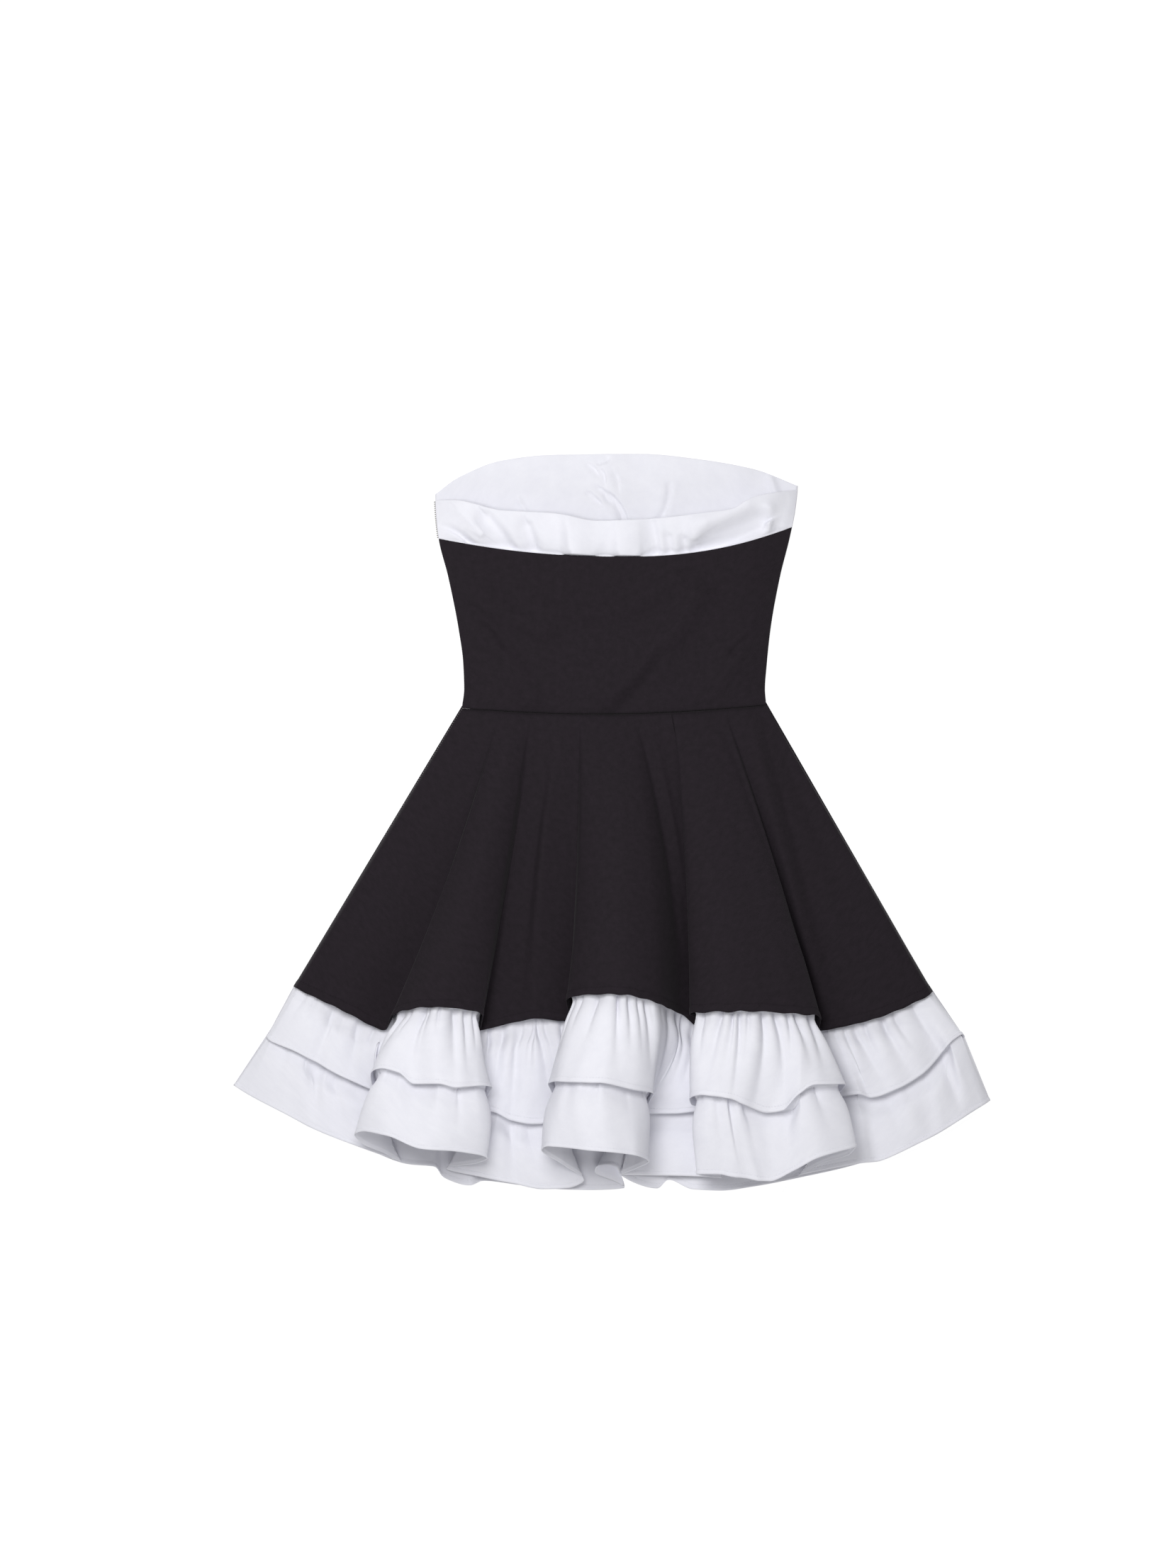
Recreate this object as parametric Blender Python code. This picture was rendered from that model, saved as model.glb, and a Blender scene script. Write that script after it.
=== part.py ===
"""Strapless cocktail dress with two white ruffles, laid flat on its front with its back up.

+X is the viewer's right, +Y runs from the hem to the neckline and +Z points up from the table.
The front of the dress lies flat at z = 0 and the back lies over it, with three large flutes.
Tables and sizes are in millimetres and become metres where a mesh is made.
Each cloth piece is a wall between two grids of points: rows run down the dress, columns across it.
"""

from collections import namedtuple

import bpy
import numpy as np

MM = 0.001

# Cloth walls and the gap that stands for a sewn seam
CREPE = 1.2
POPLIN = 1.0
ZIP_TAPE = 0.8
SEAM = 0.3

# Columns across the back skirt, and how many mesh columns one gather takes in a ruffle
SKIRT_COLUMNS = 68
COLUMNS_PER_GATHER = 4
SIDE_FADE_COLUMNS = 8
GATHER_DEPTH = 6.0
GATHER_UNEVEN = 0.25
FRONT_GATHER_DEPTH = 2.2

# Heights of the back over the table: at its left edge, which lies on the zip, and its right one
LEFT_Z = CREPE + SEAM + ZIP_TAPE + SEAM + CREPE
RIGHT_Z = CREPE + SEAM + CREPE
WAIST_Z = 9.5
BODICE_Z = 17.0
BAND_Z = 15.0
BAND_PUFF = 5.0
PUFF_SHARE = 0.85
SIDE_ROLL = 45.0
SEAM_FADE = 7.0

# Grid sizes of the pieces without flutes
BODICE_GRID = (12, 30)
BACK_BAND_GRID = (5, 44)
FRONT_BODICE_GRID = (3, 30)
FRONT_BAND_GRID = (7, 38)
FRONT_SKIRT_COLUMNS = 20

# Rows of a skirt from waist to hem: the next ruffle is sewn inside the last strip
SKIRT_ROWS = [0, 0.06, 0.14, 0.25, 0.37, 0.5, 0.63, 0.78, 0.955, 1]
FRONT_SKIRT_ROWS = [0, 0.5, 0.955, 1]

# Rows of a ruffle from the hem above to its own, each with its share of the gathers' depth
RUFFLE_FALL = [(0.15, 0.95), (0.42, 0.6), (0.82, 0.22), (1.0, 0.12)]
FRONT_FALL = [(0.08, 1.0), (0.82, 0.2), (1.0, 0.1)]

# The zip runs from the band's top to below the waist along the left side
ZIP_TOP_Y = 339
ZIP_END_Y = -20
ZIP_ROWS = 12
ZIP_PROUD = 0.6
ZIP_WIDTH = 9

# How much closer the mesh columns of a panel lie near its sides
SIDE_CROWDING = 0.08

# Colours of the two cloths
BLACK = (0.022, 0.019, 0.022, 1.0)
WHITE = (0.84, 0.84, 0.88, 1.0)
CLOTH_ROUGHNESS = 0.72

Seam = namedtuple("Seam", "low_x low_y left_reach left_rise right_reach right_rise power")
Side = namedtuple("Side", "y left right")
Edge = namedtuple("Edge", "x y")
Fold = namedtuple("Fold", "waist_x mid_x hem_x hem_y mid_z hem_z")
Hem = namedtuple("Hem", "x y z")
Crease = namedtuple("Crease", "x1 y1 x2 y2 bow width height")

# Seams across the dress: each has a lowest point and rises to both sides
WAIST_SEAM = Seam(-15, 114.5, 170, 9, 170, 9, 2.0)
BAND_SEAM = Seam(15, 280, 200, 20, 176, 32, 2.2)

# Side seams of the bodice and band, from the waist up
SIDES = [
    Side(115, -159, 164),
    Side(140, -156, 162),
    Side(168, -157, 164),
    Side(205, -162, 168),
    Side(260, -173, 178),
    Side(300, -183, 188),
    Side(330, -186, 194),
    Side(356, -187, 197),
]

# Top edge of the back band
BACK_TOP = [
    Edge(-187, 340),
    Edge(-165, 339),
    Edge(-116, 328),
    Edge(-62, 325),
    Edge(-15, 317),
    Edge(40, 319),
    Edge(95, 325),
    Edge(125, 329),
    Edge(150, 342),
    Edge(196, 351),
]

# Top edge of the front band
FRONT_TOP = [
    Edge(-187, 346),
    Edge(-162, 364),
    Edge(-116, 382),
    Edge(-62, 388),
    Edge(32, 389),
    Edge(94, 383),
    Edge(150, 373),
    Edge(197, 355),
]

# Fold lines of the back skirt, from the left side seam to the right one
SKIRT_FOLDS = [
    Fold(-158, -247, -336, -173, 4, 6),  # left side seam
    Fold(-156, -243, -332, -175, 11, 15),
    Fold(-143, -212, -287, -196, 15, 22),
    Fold(-122, -172, -240, -219, 15, 19),  # first flute
    Fold(-116, -166, -229, -200, 28, 46),
    Fold(-102, -138, -184, -191, 40, 70),
    Fold(-88, -111, -135, -202, 27, 44),
    Fold(-83, -108, -139, -220, 15, 19),
    Fold(-64, -84, -102, -211, 13, 16),
    Fold(-50, -74, -80, -206, 18, 21),
    Fold(-36, -42, -42, -211, 14, 17),  # second flute
    Fold(-30, -33, -48, -185, 30, 50),
    Fold(-4, 6, 6, -177, 44, 84),
    Fold(14, 38, 46, -187, 37, 68),
    Fold(31, 66, 75, -203, 16, 24),
    Fold(47, 79, 92, -216, 13, 16),
    Fold(60, 90, 104, -213, 15, 20),  # third flute
    Fold(66, 77, 81, -200, 32, 52),
    Fold(82, 108, 126, -195, 44, 78),
    Fold(100, 146, 186, -198, 40, 70),
    Fold(116, 171, 219, -205, 30, 44),
    Fold(121, 174, 217, -220, 18, 20),
    Fold(142, 184, 232, -217, 25, 18),
    Fold(155, 200, 248, -214, 15, 18),
    Fold(158, 218, 282, -205, 14, 20),
    Fold(161, 249, 335, -182, 11, 15),
    Fold(163, 251, 339, -179, 4, 6),  # right side seam
]

# Hem of the upper back ruffle at the same fold lines
UPPER_HEM = [
    Hem(-365, -227, 5),
    Hem(-361, -230, 13),
    Hem(-318, -253, 22),
    Hem(-262, -281, 17),
    Hem(-256, -262, 52),
    Hem(-196, -270, 80),
    Hem(-128, -277, 46),
    Hem(-133, -305, 18),
    Hem(-108, -311, 15),
    Hem(-86, -314, 18),
    Hem(-54, -318, 15),
    Hem(-64, -271, 56),
    Hem(-8, -269, 96),
    Hem(44, -279, 58),
    Hem(48, -305, 18),
    Hem(64, -310, 15),
    Hem(93, -304, 18),
    Hem(83, -290, 50),
    Hem(124, -287, 80),
    Hem(196, -287, 72),
    Hem(246, -275, 50),
    Hem(250, -291, 20),
    Hem(270, -289, 19),
    Hem(296, -285, 20),
    Hem(326, -271, 21),
    Hem(369, -230, 14),
    Hem(373, -227, 5),
]

# Hem of the lower back ruffle at the same fold lines
LOWER_HEM = [
    Hem(-400, -278, 3),
    Hem(-396, -281, 10),
    Hem(-346, -306, 18),
    Hem(-270, -346, 12),
    Hem(-268, -322, 52),
    Hem(-200, -335, 86),
    Hem(-130, -342, 48),
    Hem(-138, -371, 13),
    Hem(-106, -382, 9),
    Hem(-82, -386, 11),
    Hem(-38, -368, 13),
    Hem(-72, -341, 50),
    Hem(-15, -337, 98),
    Hem(40, -345, 54),
    Hem(40, -371, 13),
    Hem(66, -375, 9),
    Hem(98, -372, 12),
    Hem(90, -367, 40),
    Hem(128, -368, 62),
    Hem(205, -352, 74),
    Hem(256, -337, 50),
    Hem(262, -361, 15),
    Hem(280, -357, 15),
    Hem(308, -348, 17),
    Hem(340, -331, 18),
    Hem(396, -297, 10),
    Hem(400, -294, 3),
]

# Hems of the front, which lie on the table but for low waves
FRONT_SKIRT_HEM = [
    Hem(-336, -173, 0),
    Hem(-240, -215, 0),
    Hem(-120, -238, 0),
    Hem(0, -244, 0),
    Hem(120, -240, 0),
    Hem(240, -218, 0),
    Hem(339, -179, 0),
]
FRONT_UPPER_HEM = [
    Hem(-365, -227, 0),
    Hem(-260, -284, 0),
    Hem(-130, -315, 0),
    Hem(0, -322, 0),
    Hem(130, -318, 0),
    Hem(260, -290, 0),
    Hem(373, -227, 0),
]
FRONT_LOWER_HEM = [
    Hem(-400, -278, 0),
    Hem(-310, -326, 0),
    Hem(-222, -359, 4),
    Hem(-186, -365, 1),
    Hem(-162, -380, 5),
    Hem(-100, -385, 0),
    Hem(-50, -387, 1),
    Hem(-5, -389, 6),
    Hem(20, -384, 1),
    Hem(55, -387, 0),
    Hem(112, -389, 3),
    Hem(166, -383, 1),
    Hem(230, -369, 6),
    Hem(328, -338, 0),
    Hem(400, -294, 0),
]

# Soft folds where the bodice is slack over its sides
BODICE_CREASES = [
    Crease(-167, 264, -73, 202, -6, 15, 4.0),
    Crease(-158, 217, -86, 132, 8, 13, 3.5),
    Crease(-81, 229, 67, 256, -20, 14, 3.5),
    Crease(89, 239, -3, 135, 8, 17, 4.5),
    Crease(172, 250, 103, 142, 8, 12, 3.0),
]

# Puffs of the gathered back band: ridges stand up and troughs go down
BAND_CREASES = [
    Crease(-165, 330, -120, 294, 0, 9, -4.0),
    Crease(-140, 328, -96, 292, 4, 9, 3.5),
    Crease(-92, 312, -78, 286, 0, 6, -3.0),
    Crease(-60, 320, -56, 288, 0, 12, 3.0),
    Crease(-38, 318, -38, 286, 0, 6, -2.5),
    Crease(-5, 312, 0, 286, 0, 14, 2.5),
    Crease(48, 315, 52, 288, 0, 7, -2.5),
    Crease(72, 316, 74, 288, 0, 8, 3.0),
    Crease(112, 318, 110, 292, 0, 14, -6.0),
    Crease(152, 336, 148, 314, 0, 10, 4.0),
    Crease(180, 342, 170, 310, 0, 8, -2.5),
]

# Ruched middle and loose creases of the front band, seen from inside
FRONT_BAND_CREASES = [
    Crease(-23, 378, -11, 362, 2, 5, 4.5),
    Crease(-8, 384, 2, 360, -3, 5, 5.0),
    Crease(6, 386, 10, 330, 4, 5, 4.5),
    Crease(-22, 352, -8, 334, 0, 5, 4.0),
    Crease(-8, 356, 14, 326, 2, 5, 5.0),
    Crease(63, 360, 52, 321, 3, 5, 3.0),
    Crease(-98, 342, -90, 328, 0, 6, 2.5),
    Crease(171, 362, 174, 350, 0, 6, 2.5),
    Crease(-150, 362, -60, 384, 6, 9, 3.0),
    Crease(40, 384, 140, 366, 8, 9, 3.0),
]


def rates(knots, points):
    """Return how fast each coordinate changes at each point: level where it turns back."""
    steps = np.diff(points, axis=0) / np.diff(knots)[:, None]
    before, after = steps[:-1], steps[1:]
    total = before + after
    total[total == 0] = 1
    inner = np.where(before * after > 0, 2 * before * after / total, 0)
    return np.vstack([steps[:1], inner, steps[-1:]])


def curve(knots, points, places):
    """Return the places along a smooth curve that turns back only at its own points."""
    points = np.asarray(points, float)
    slopes = rates(knots, points)
    left = np.clip(np.searchsorted(knots, places, side="right") - 1, 0, len(knots) - 2)
    span = (knots[left + 1] - knots[left])[:, None]
    t = (places - knots[left])[:, None] / span
    start = points[left] * (1 + 2 * t) * (1 - t) ** 2 + slopes[left] * span * t * (1 - t) ** 2
    end = points[left + 1] * t**2 * (3 - 2 * t) - slopes[left + 1] * span * t**2 * (1 - t)
    return start + end


def lengths(points):
    """Return the distance along a line of points, from its start to each of them."""
    steps = np.linalg.norm(np.diff(np.asarray(points, float), axis=0), axis=1)
    return np.concatenate([[0], np.cumsum(steps)])


def even_places(knots, points, count):
    """Return places along a curve that lie the same distance apart, one more than count."""
    fine = np.linspace(knots[0], knots[-1], 2000)
    run = lengths(curve(knots, points, fine))
    return np.interp(np.linspace(0, run[-1], count + 1), run, fine)


def edge_y(edge, x):
    """Return how high an edge lies at x."""
    points = np.array(edge, float)
    return curve(points[:, 0], points[:, 1:], np.ravel(x))[:, 0].reshape(np.shape(x))


def side_x(y, column):
    """Return where a side seam of the bodice lies at y: column 1 is the left and 2 the right."""
    points = np.array(SIDES, float)
    return curve(points[:, 0], points[:, column:column + 1], np.atleast_1d(y))[0, 0]


def seam_y(seam, x):
    """Return how high a seam across the dress lies at x."""
    left = np.clip((seam.low_x - x) / seam.left_reach, 0, None) ** seam.power
    right = np.clip((x - seam.low_x) / seam.right_reach, 0, None) ** seam.power
    return seam.low_y + seam.left_rise * left + seam.right_rise * right


def waist_y(x):
    """Return the waist seam."""
    return seam_y(WAIST_SEAM, x)


def band_seam_y(x):
    """Return the seam between bodice and band."""
    return seam_y(BAND_SEAM, x)


def back_top_y(x):
    """Return the top edge of the back band."""
    return edge_y(BACK_TOP, x)


def front_top_y(x):
    """Return the top edge of the front band."""
    return edge_y(FRONT_TOP, x)


def crease_height(x, y, creases):
    """Return the height that soft folds add: each runs from one end to the other with a bow."""
    height = np.zeros(np.shape(x))
    for crease in creases:
        along = np.array([crease.x2 - crease.x1, crease.y2 - crease.y1], float)
        length = np.linalg.norm(along)
        along /= length
        run = (x - crease.x1) * along[0] + (y - crease.y1) * along[1]
        aside = (y - crease.y1) * along[0] - (x - crease.x1) * along[1]
        t = np.clip(run / length, 0, 1)
        off = np.hypot(aside - crease.bow * 4 * t * (1 - t), run - t * length)
        height += crease.height * np.exp(-((off / crease.width) ** 2))
    return height


def normals(grid):
    """Return the unit normal at each point of a grid, on the side away from the table."""
    down = np.gradient(grid, axis=0)
    across = np.gradient(grid, axis=1)
    normal = np.cross(down, across)
    return normal / np.linalg.norm(normal, axis=2, keepdims=True)


def halved(grid):
    """Return a grid with a column added midway between each two."""
    rows, columns, size = grid.shape
    fine = np.empty((rows, 2 * columns - 1, size))
    fine[:, 0::2] = grid
    fine[:, 1::2] = (grid[:, :-1] + grid[:, 1:]) / 2
    return fine


def side_place(column, lower, upper, t):
    """Return where a side seam lies, t of the way from a piece's lower edge to its upper one."""
    x = SIDES[0][column]
    for _ in range(4):
        y = lower(x) * (1 - t) + upper(x) * t
        x = side_x(y, column)
    return x


def panel(lower, upper, size, gap):
    """Return x and y grids of a panel between two edges, from the upper one down."""
    rows, columns = size
    t = np.linspace(0, 1, columns + 1)
    across = t - SIDE_CROWDING * np.sin(2 * np.pi * t)
    x = np.empty((rows + 1, columns + 1))
    y = np.empty_like(x)
    for index, t in enumerate(np.linspace(1, 0, rows + 1)):
        left = side_place(1, lower, upper, t)
        right = side_place(2, lower, upper, t)
        x[index] = left + (right - left) * across
        y[index] = (lower(x[index]) + gap) * (1 - t) + upper(x[index]) * t
    return x, y


def rise(x, left, right, top):
    """Return the height of the back over a row that rolls up from its two side edges."""
    share = (x - left) / (right - left)
    edge = LEFT_Z + (RIGHT_Z - LEFT_Z) * share
    inside = np.clip(np.minimum(x - left, right - x) / SIDE_ROLL, 0, 1)
    return edge + (top - edge) * (1 - (1 - inside) ** 2)


def finish(name, colour):
    """Return a plain cloth material."""
    material = bpy.data.materials.new(name)
    material.use_nodes = True
    shader = material.node_tree.nodes["Principled BSDF"]
    shader.inputs["Base Color"].default_value = colour
    shader.inputs["Roughness"].default_value = CLOTH_ROUGHNESS
    shader.inputs["Metallic"].default_value = 0.0
    return material


def cloth(name, top, bottom, material):
    """Make one closed cloth wall between a top grid and a bottom grid of the same size."""
    rows, columns = top.shape[:2]
    index = np.arange(rows * columns).reshape(rows, columns)
    below = rows * columns
    faces = []
    for r in range(rows - 1):
        for c in range(columns - 1):
            faces.append([index[r, c], index[r + 1, c], index[r + 1, c + 1], index[r, c + 1]])
            inside = [index[r, c], index[r, c + 1], index[r + 1, c + 1], index[r + 1, c]]
            faces.append([corner + below for corner in inside])
    rim = np.concatenate([index[:, 0], index[-1, 1:], index[-2::-1, -1], index[0, -2::-1]])
    for here, there in zip(rim[:-1], rim[1:]):
        faces.append([there, here, here + below, there + below])
    points = np.concatenate([top.reshape(-1, 3), bottom.reshape(-1, 3)]) * MM
    mesh = bpy.data.meshes.new(name)
    mesh.from_pydata(points.tolist(), [], [[int(corner) for corner in face] for face in faces])
    mesh.materials.append(material)
    mesh.shade_smooth()
    mesh.set_sharp_from_angle(angle=1.0)
    piece = bpy.data.objects.new(name, mesh)
    bpy.context.collection.objects.link(piece)
    return piece


def under(top, wall, seam_rows=()):
    """Return the inner face of a back piece, straight below the outer one at its seams."""
    normal = normals(top)
    normal[:, [0, -1]] = (0, 0, 1)
    for row in seam_rows:
        normal[row] = (0, 0, 1)
    return top - normal * wall


def back_panel(lower, upper, size, gap, height):
    """Return the outer face of a back panel whose height is a function of x, y and t."""
    x, y = panel(lower, upper, size, gap)
    t = np.linspace(1, 0, size[0] + 1)[:, None]
    z = rise(x, x[:, :1], x[:, -1:], height(x, y, t))
    return np.stack([x, y, z], axis=2)


def bodice_height(x, y, t):
    """Return the height of the slack back bodice: it sinks to the waist and to the band seam."""
    hill = WAIST_Z + (BAND_Z - WAIST_Z) * t + (BODICE_Z - BAND_Z) * 4 * t * (1 - t)
    edge = np.minimum(y - waist_y(x), band_seam_y(x) - y)
    return hill + crease_height(x, y, BODICE_CREASES) * np.clip(edge / SEAM_FADE, 0, 1)


def band_height(x, y, t):
    """Return the height of the puffed back band, which turns down a little at its top edge."""
    hill = BAND_Z + BAND_PUFF * np.sin(np.pi * PUFF_SHARE * t)
    edge = y - band_seam_y(x)
    return hill + crease_height(x, y, BAND_CREASES) * np.clip(edge / SEAM_FADE, 0, 1)


def make_back_bodice(material):
    """Make the black back bodice."""
    top = back_panel(waist_y, band_seam_y, BODICE_GRID, 0, bodice_height)
    cloth("bodice_back", top, under(top, CREPE, (0, -1)), material)


def make_back_band(material):
    """Make the white gathered band along the top of the back."""
    top = back_panel(band_seam_y, back_top_y, BACK_BAND_GRID, SEAM, band_height)
    cloth("bust_band_back", top, under(top, CREPE, (-1,)), material)


def make_front_bodice(material):
    """Make the black front bodice, flat on the table."""
    x, y = panel(waist_y, band_seam_y, FRONT_BODICE_GRID, 0)
    bottom = np.stack([x, y, np.zeros_like(x)], axis=2)
    cloth("bodice_front", bottom + (0, 0, CREPE), bottom, material)


def make_front_band(material):
    """Make the white front band with its ruched middle: low creases stand up off the table."""
    x, y = panel(band_seam_y, front_top_y, FRONT_BAND_GRID, SEAM)
    edge = np.minimum(y - band_seam_y(x), np.minimum(x - x[:, :1], x[:, -1:] - x))
    z = crease_height(x, y, FRONT_BAND_CREASES) * np.clip(edge / SEAM_FADE, 0, 1)
    bottom = np.stack([x, y, z], axis=2)
    cloth("bust_band_front", bottom + (0, 0, CREPE), bottom, material)


def through(v, start, middle, end):
    """Return a value that passes start, middle and end at v = 0, 0.5 and 1."""
    return start * (1 - v) * (1 - 2 * v) + middle * 4 * v * (1 - v) + end * v * (2 * v - 1)


def skirt_places():
    """Return the knots of the fold lines and the places of the skirt's columns between them."""
    hem = np.array(SKIRT_FOLDS, float)[:, [2, 3, 5]]
    knots = lengths(hem)
    return knots, even_places(knots, hem, SKIRT_COLUMNS)


def back_skirt_grid(knots, places):
    """Return the outer face of the back skirt: its flutes widen like cones from the waist."""
    waist_x, mid_x, hem_x, hem_y, mid_z, hem_z = np.array(SKIRT_FOLDS, float).T
    waist_z = rise(waist_x, waist_x[0], waist_x[-1], WAIST_Z)
    rows = []
    for v in SKIRT_ROWS:
        x = through(v, waist_x, mid_x, hem_x)
        y = (waist_y(waist_x) - SEAM) * (1 - v) + hem_y * v
        z = through(v, waist_z, mid_z, hem_z)
        rows.append(curve(knots, np.stack([x, y, z], axis=1), places))
    return np.array(rows)


def side_fade(columns):
    """Return 0 at each side seam, rising to 1 within a few columns."""
    place = np.arange(columns)
    return np.clip(np.minimum(place, columns - 1 - place) / SIDE_FADE_COLUMNS, 0, 1)


def gathers(columns, depth):
    """Return how deep each column of a gathered ruffle sits, uneven along the seam."""
    place = np.arange(columns)
    wave = 0.5 - 0.5 * np.cos(2 * np.pi * place / COLUMNS_PER_GATHER)
    uneven = 1 - GATHER_UNEVEN * (1 + np.sin(place / 2.7) * np.sin(place / 9.1))
    return depth * wave * uneven * side_fade(columns)


def below_seam(parent, wall):
    """Return where a ruffle starts inside its parent: a row up inside, a row at the hem."""
    inner = under(parent, wall + SEAM)
    down = inner[-1] - inner[-2]
    return inner[-2], inner[-1], down / np.linalg.norm(down, axis=1, keepdims=True)


def back_ruffle_grid(seam, start, direction, hem):
    """Return the outer face of a back ruffle: it leaves the hem straight and flares to its own."""
    fade = side_fade(len(hem))[:, None]
    reach = np.linalg.norm(hem - start, axis=1, keepdims=True)
    lead = direction * reach * fade + (hem - start) * (1 - fade)
    rows = [seam, start]
    for w, _ in RUFFLE_FALL:
        rows.append(start + lead * w + (hem - start - lead) * w**2)
    base = np.array(rows)
    depth = np.array([1, 1] + [share for _, share in RUFFLE_FALL])[:, None]
    normal = normals(base)
    sink = gathers(base.shape[1], GATHER_DEPTH) * depth
    return base - normal * sink[:, :, None]


def make_back_skirt_and_ruffles(black, white):
    """Make the fluted back skirt and its two ruffles, each sewn inside the one above."""
    knots, places = skirt_places()
    skirt = back_skirt_grid(knots, places)
    cloth("skirt_back", skirt, under(skirt, CREPE, (0,)), black)
    places = np.interp(np.arange(0, SKIRT_COLUMNS + 0.25, 0.5), np.arange(len(places)), places)
    seam, start, direction = below_seam(halved(skirt), CREPE)
    upper = back_ruffle_grid(seam, start, direction, curve(knots, np.array(UPPER_HEM, float), places))
    cloth("upper_ruffle_back", upper, under(upper, POPLIN), white)
    seam, start, direction = below_seam(upper, POPLIN)
    lower = back_ruffle_grid(seam, start, direction, curve(knots, np.array(LOWER_HEM, float), places))
    cloth("lower_ruffle_back", lower, under(lower, POPLIN), white)


def front_curve(hem, columns):
    """Return a front hem as a row of evenly spaced points."""
    points = np.array(hem, float)
    knots = lengths(points)
    return curve(knots, points, even_places(knots, points, columns))


def front_ruffle_grid(parent, hem):
    """Return the underside of a front ruffle: inside the hem above, then down on the table."""
    seam, start = parent[-2:]
    rows = [seam, start]
    for w, _ in FRONT_FALL:
        row = start * (1 - w) + hem * w
        row[:, 2] = hem[:, 2] * w
        rows.append(row)
    base = np.array(rows)
    depth = np.array([1, 1] + [share for _, share in FRONT_FALL])[:, None]
    base[:, :, 2] += gathers(base.shape[1], FRONT_GATHER_DEPTH) * depth
    return base


def make_front_skirt_and_ruffles(black, white):
    """Make the front skirt flat on the table and its two ruffles, each inside the one above."""
    columns = FRONT_SKIRT_COLUMNS
    x = np.linspace(SKIRT_FOLDS[0].waist_x, SKIRT_FOLDS[-1].waist_x, columns + 1)
    waist = np.stack([x, waist_y(x) - SEAM, np.zeros_like(x)], axis=1)
    hem = front_curve(FRONT_SKIRT_HEM, columns)
    fall = np.array(FRONT_SKIRT_ROWS)[:, None, None]
    skirt = waist * (1 - fall) + hem * fall
    cloth("skirt_front", skirt + (0, 0, CREPE), skirt, black)
    parent = halved(halved(skirt)) + (0, 0, CREPE + SEAM)
    upper = front_ruffle_grid(parent, front_curve(FRONT_UPPER_HEM, parent.shape[1] - 1))
    cloth("upper_ruffle_front", upper + (0, 0, POPLIN), upper, white)
    parent = upper + (0, 0, POPLIN + SEAM)
    lower = front_ruffle_grid(parent, front_curve(FRONT_LOWER_HEM, parent.shape[1] - 1))
    cloth("lower_ruffle_front", lower + (0, 0, POPLIN), lower, white)


def make_side_zip(material):
    """Make the zip between the two left side edges: it stands out a little past them."""
    seam = SKIRT_FOLDS[0]
    grid = []
    for y in np.linspace(ZIP_TOP_Y, ZIP_END_Y, ZIP_ROWS + 1):
        fall = (waist_y(seam.waist_x) - y) / (waist_y(seam.waist_x) - seam.hem_y)
        edge = side_x(y, 1) if fall < 0 else seam.waist_x + (seam.hem_x - seam.waist_x) * fall
        grid.append([(edge - ZIP_PROUD, y, 0), (edge + ZIP_WIDTH, y, 0)])
    bottom = np.array(grid) + (0, 0, CREPE + SEAM)
    cloth("side_zip", bottom + (0, 0, ZIP_TAPE), bottom, material)


def main():
    """Clear the scene and make every piece."""
    for old in list(bpy.data.objects):
        bpy.data.objects.remove(old)
    black = finish("black crepe", BLACK)
    white = finish("white poplin", WHITE)
    make_back_bodice(black)
    make_back_band(white)
    make_front_bodice(black)
    make_front_band(white)
    make_back_skirt_and_ruffles(black, white)
    make_front_skirt_and_ruffles(black, white)
    make_side_zip(black)


main()
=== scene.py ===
"""Strapless cocktail dress with two white ruffles, laid flat on its front with its back up.

+X is the viewer's right, +Y runs from the hem to the neckline and +Z points up from the floor.
Tables are in millimetres and become metres where a mesh is made.
A cloth piece is one sheet of points: rows run down the dress and columns across it.
"""
from collections import namedtuple

import bpy
import numpy as np
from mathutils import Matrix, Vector


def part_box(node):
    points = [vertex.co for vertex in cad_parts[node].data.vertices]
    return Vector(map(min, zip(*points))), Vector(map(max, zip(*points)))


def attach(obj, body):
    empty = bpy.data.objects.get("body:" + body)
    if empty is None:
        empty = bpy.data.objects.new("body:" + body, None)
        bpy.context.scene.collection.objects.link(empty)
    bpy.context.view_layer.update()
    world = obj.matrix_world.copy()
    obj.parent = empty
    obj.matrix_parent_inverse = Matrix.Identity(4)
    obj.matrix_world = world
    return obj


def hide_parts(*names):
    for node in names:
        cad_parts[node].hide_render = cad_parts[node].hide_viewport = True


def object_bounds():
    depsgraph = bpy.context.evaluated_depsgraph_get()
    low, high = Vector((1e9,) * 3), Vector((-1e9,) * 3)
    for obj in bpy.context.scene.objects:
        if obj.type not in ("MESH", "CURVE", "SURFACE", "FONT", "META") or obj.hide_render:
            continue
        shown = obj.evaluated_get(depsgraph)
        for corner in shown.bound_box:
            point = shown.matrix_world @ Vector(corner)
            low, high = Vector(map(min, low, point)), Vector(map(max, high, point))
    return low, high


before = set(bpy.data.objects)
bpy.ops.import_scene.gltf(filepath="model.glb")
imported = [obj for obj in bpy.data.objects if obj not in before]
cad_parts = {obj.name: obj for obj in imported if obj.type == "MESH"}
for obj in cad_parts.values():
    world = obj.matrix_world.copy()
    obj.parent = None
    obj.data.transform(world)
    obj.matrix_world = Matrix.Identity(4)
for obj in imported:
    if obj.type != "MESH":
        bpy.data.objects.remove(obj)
CAD_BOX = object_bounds()

bl_info = {
    "name": "Ruffled cocktail dress",
    "version": (1, 0, 0),
    "blender": (4, 5, 0),
    "location": "3D View > Sidebar > Dress",
    "description": "Builds a strapless cocktail dress that lies flat, with two gathered ruffles",
    "category": "Object",
}

MM = 0.001

# The gap that stands for a sewn seam, and the heights of the zip's solid over the floor
SEAM = 0.3
ZIP_LOW, ZIP_HIGH = (corner[2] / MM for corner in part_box("side_zip"))

# Heights of the back's edges: the left one lies on the zip and the right one on the front
LEFT_Z = ZIP_HIGH + ZIP_LOW
RIGHT_Z = 2 * ZIP_LOW - SEAM

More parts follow.
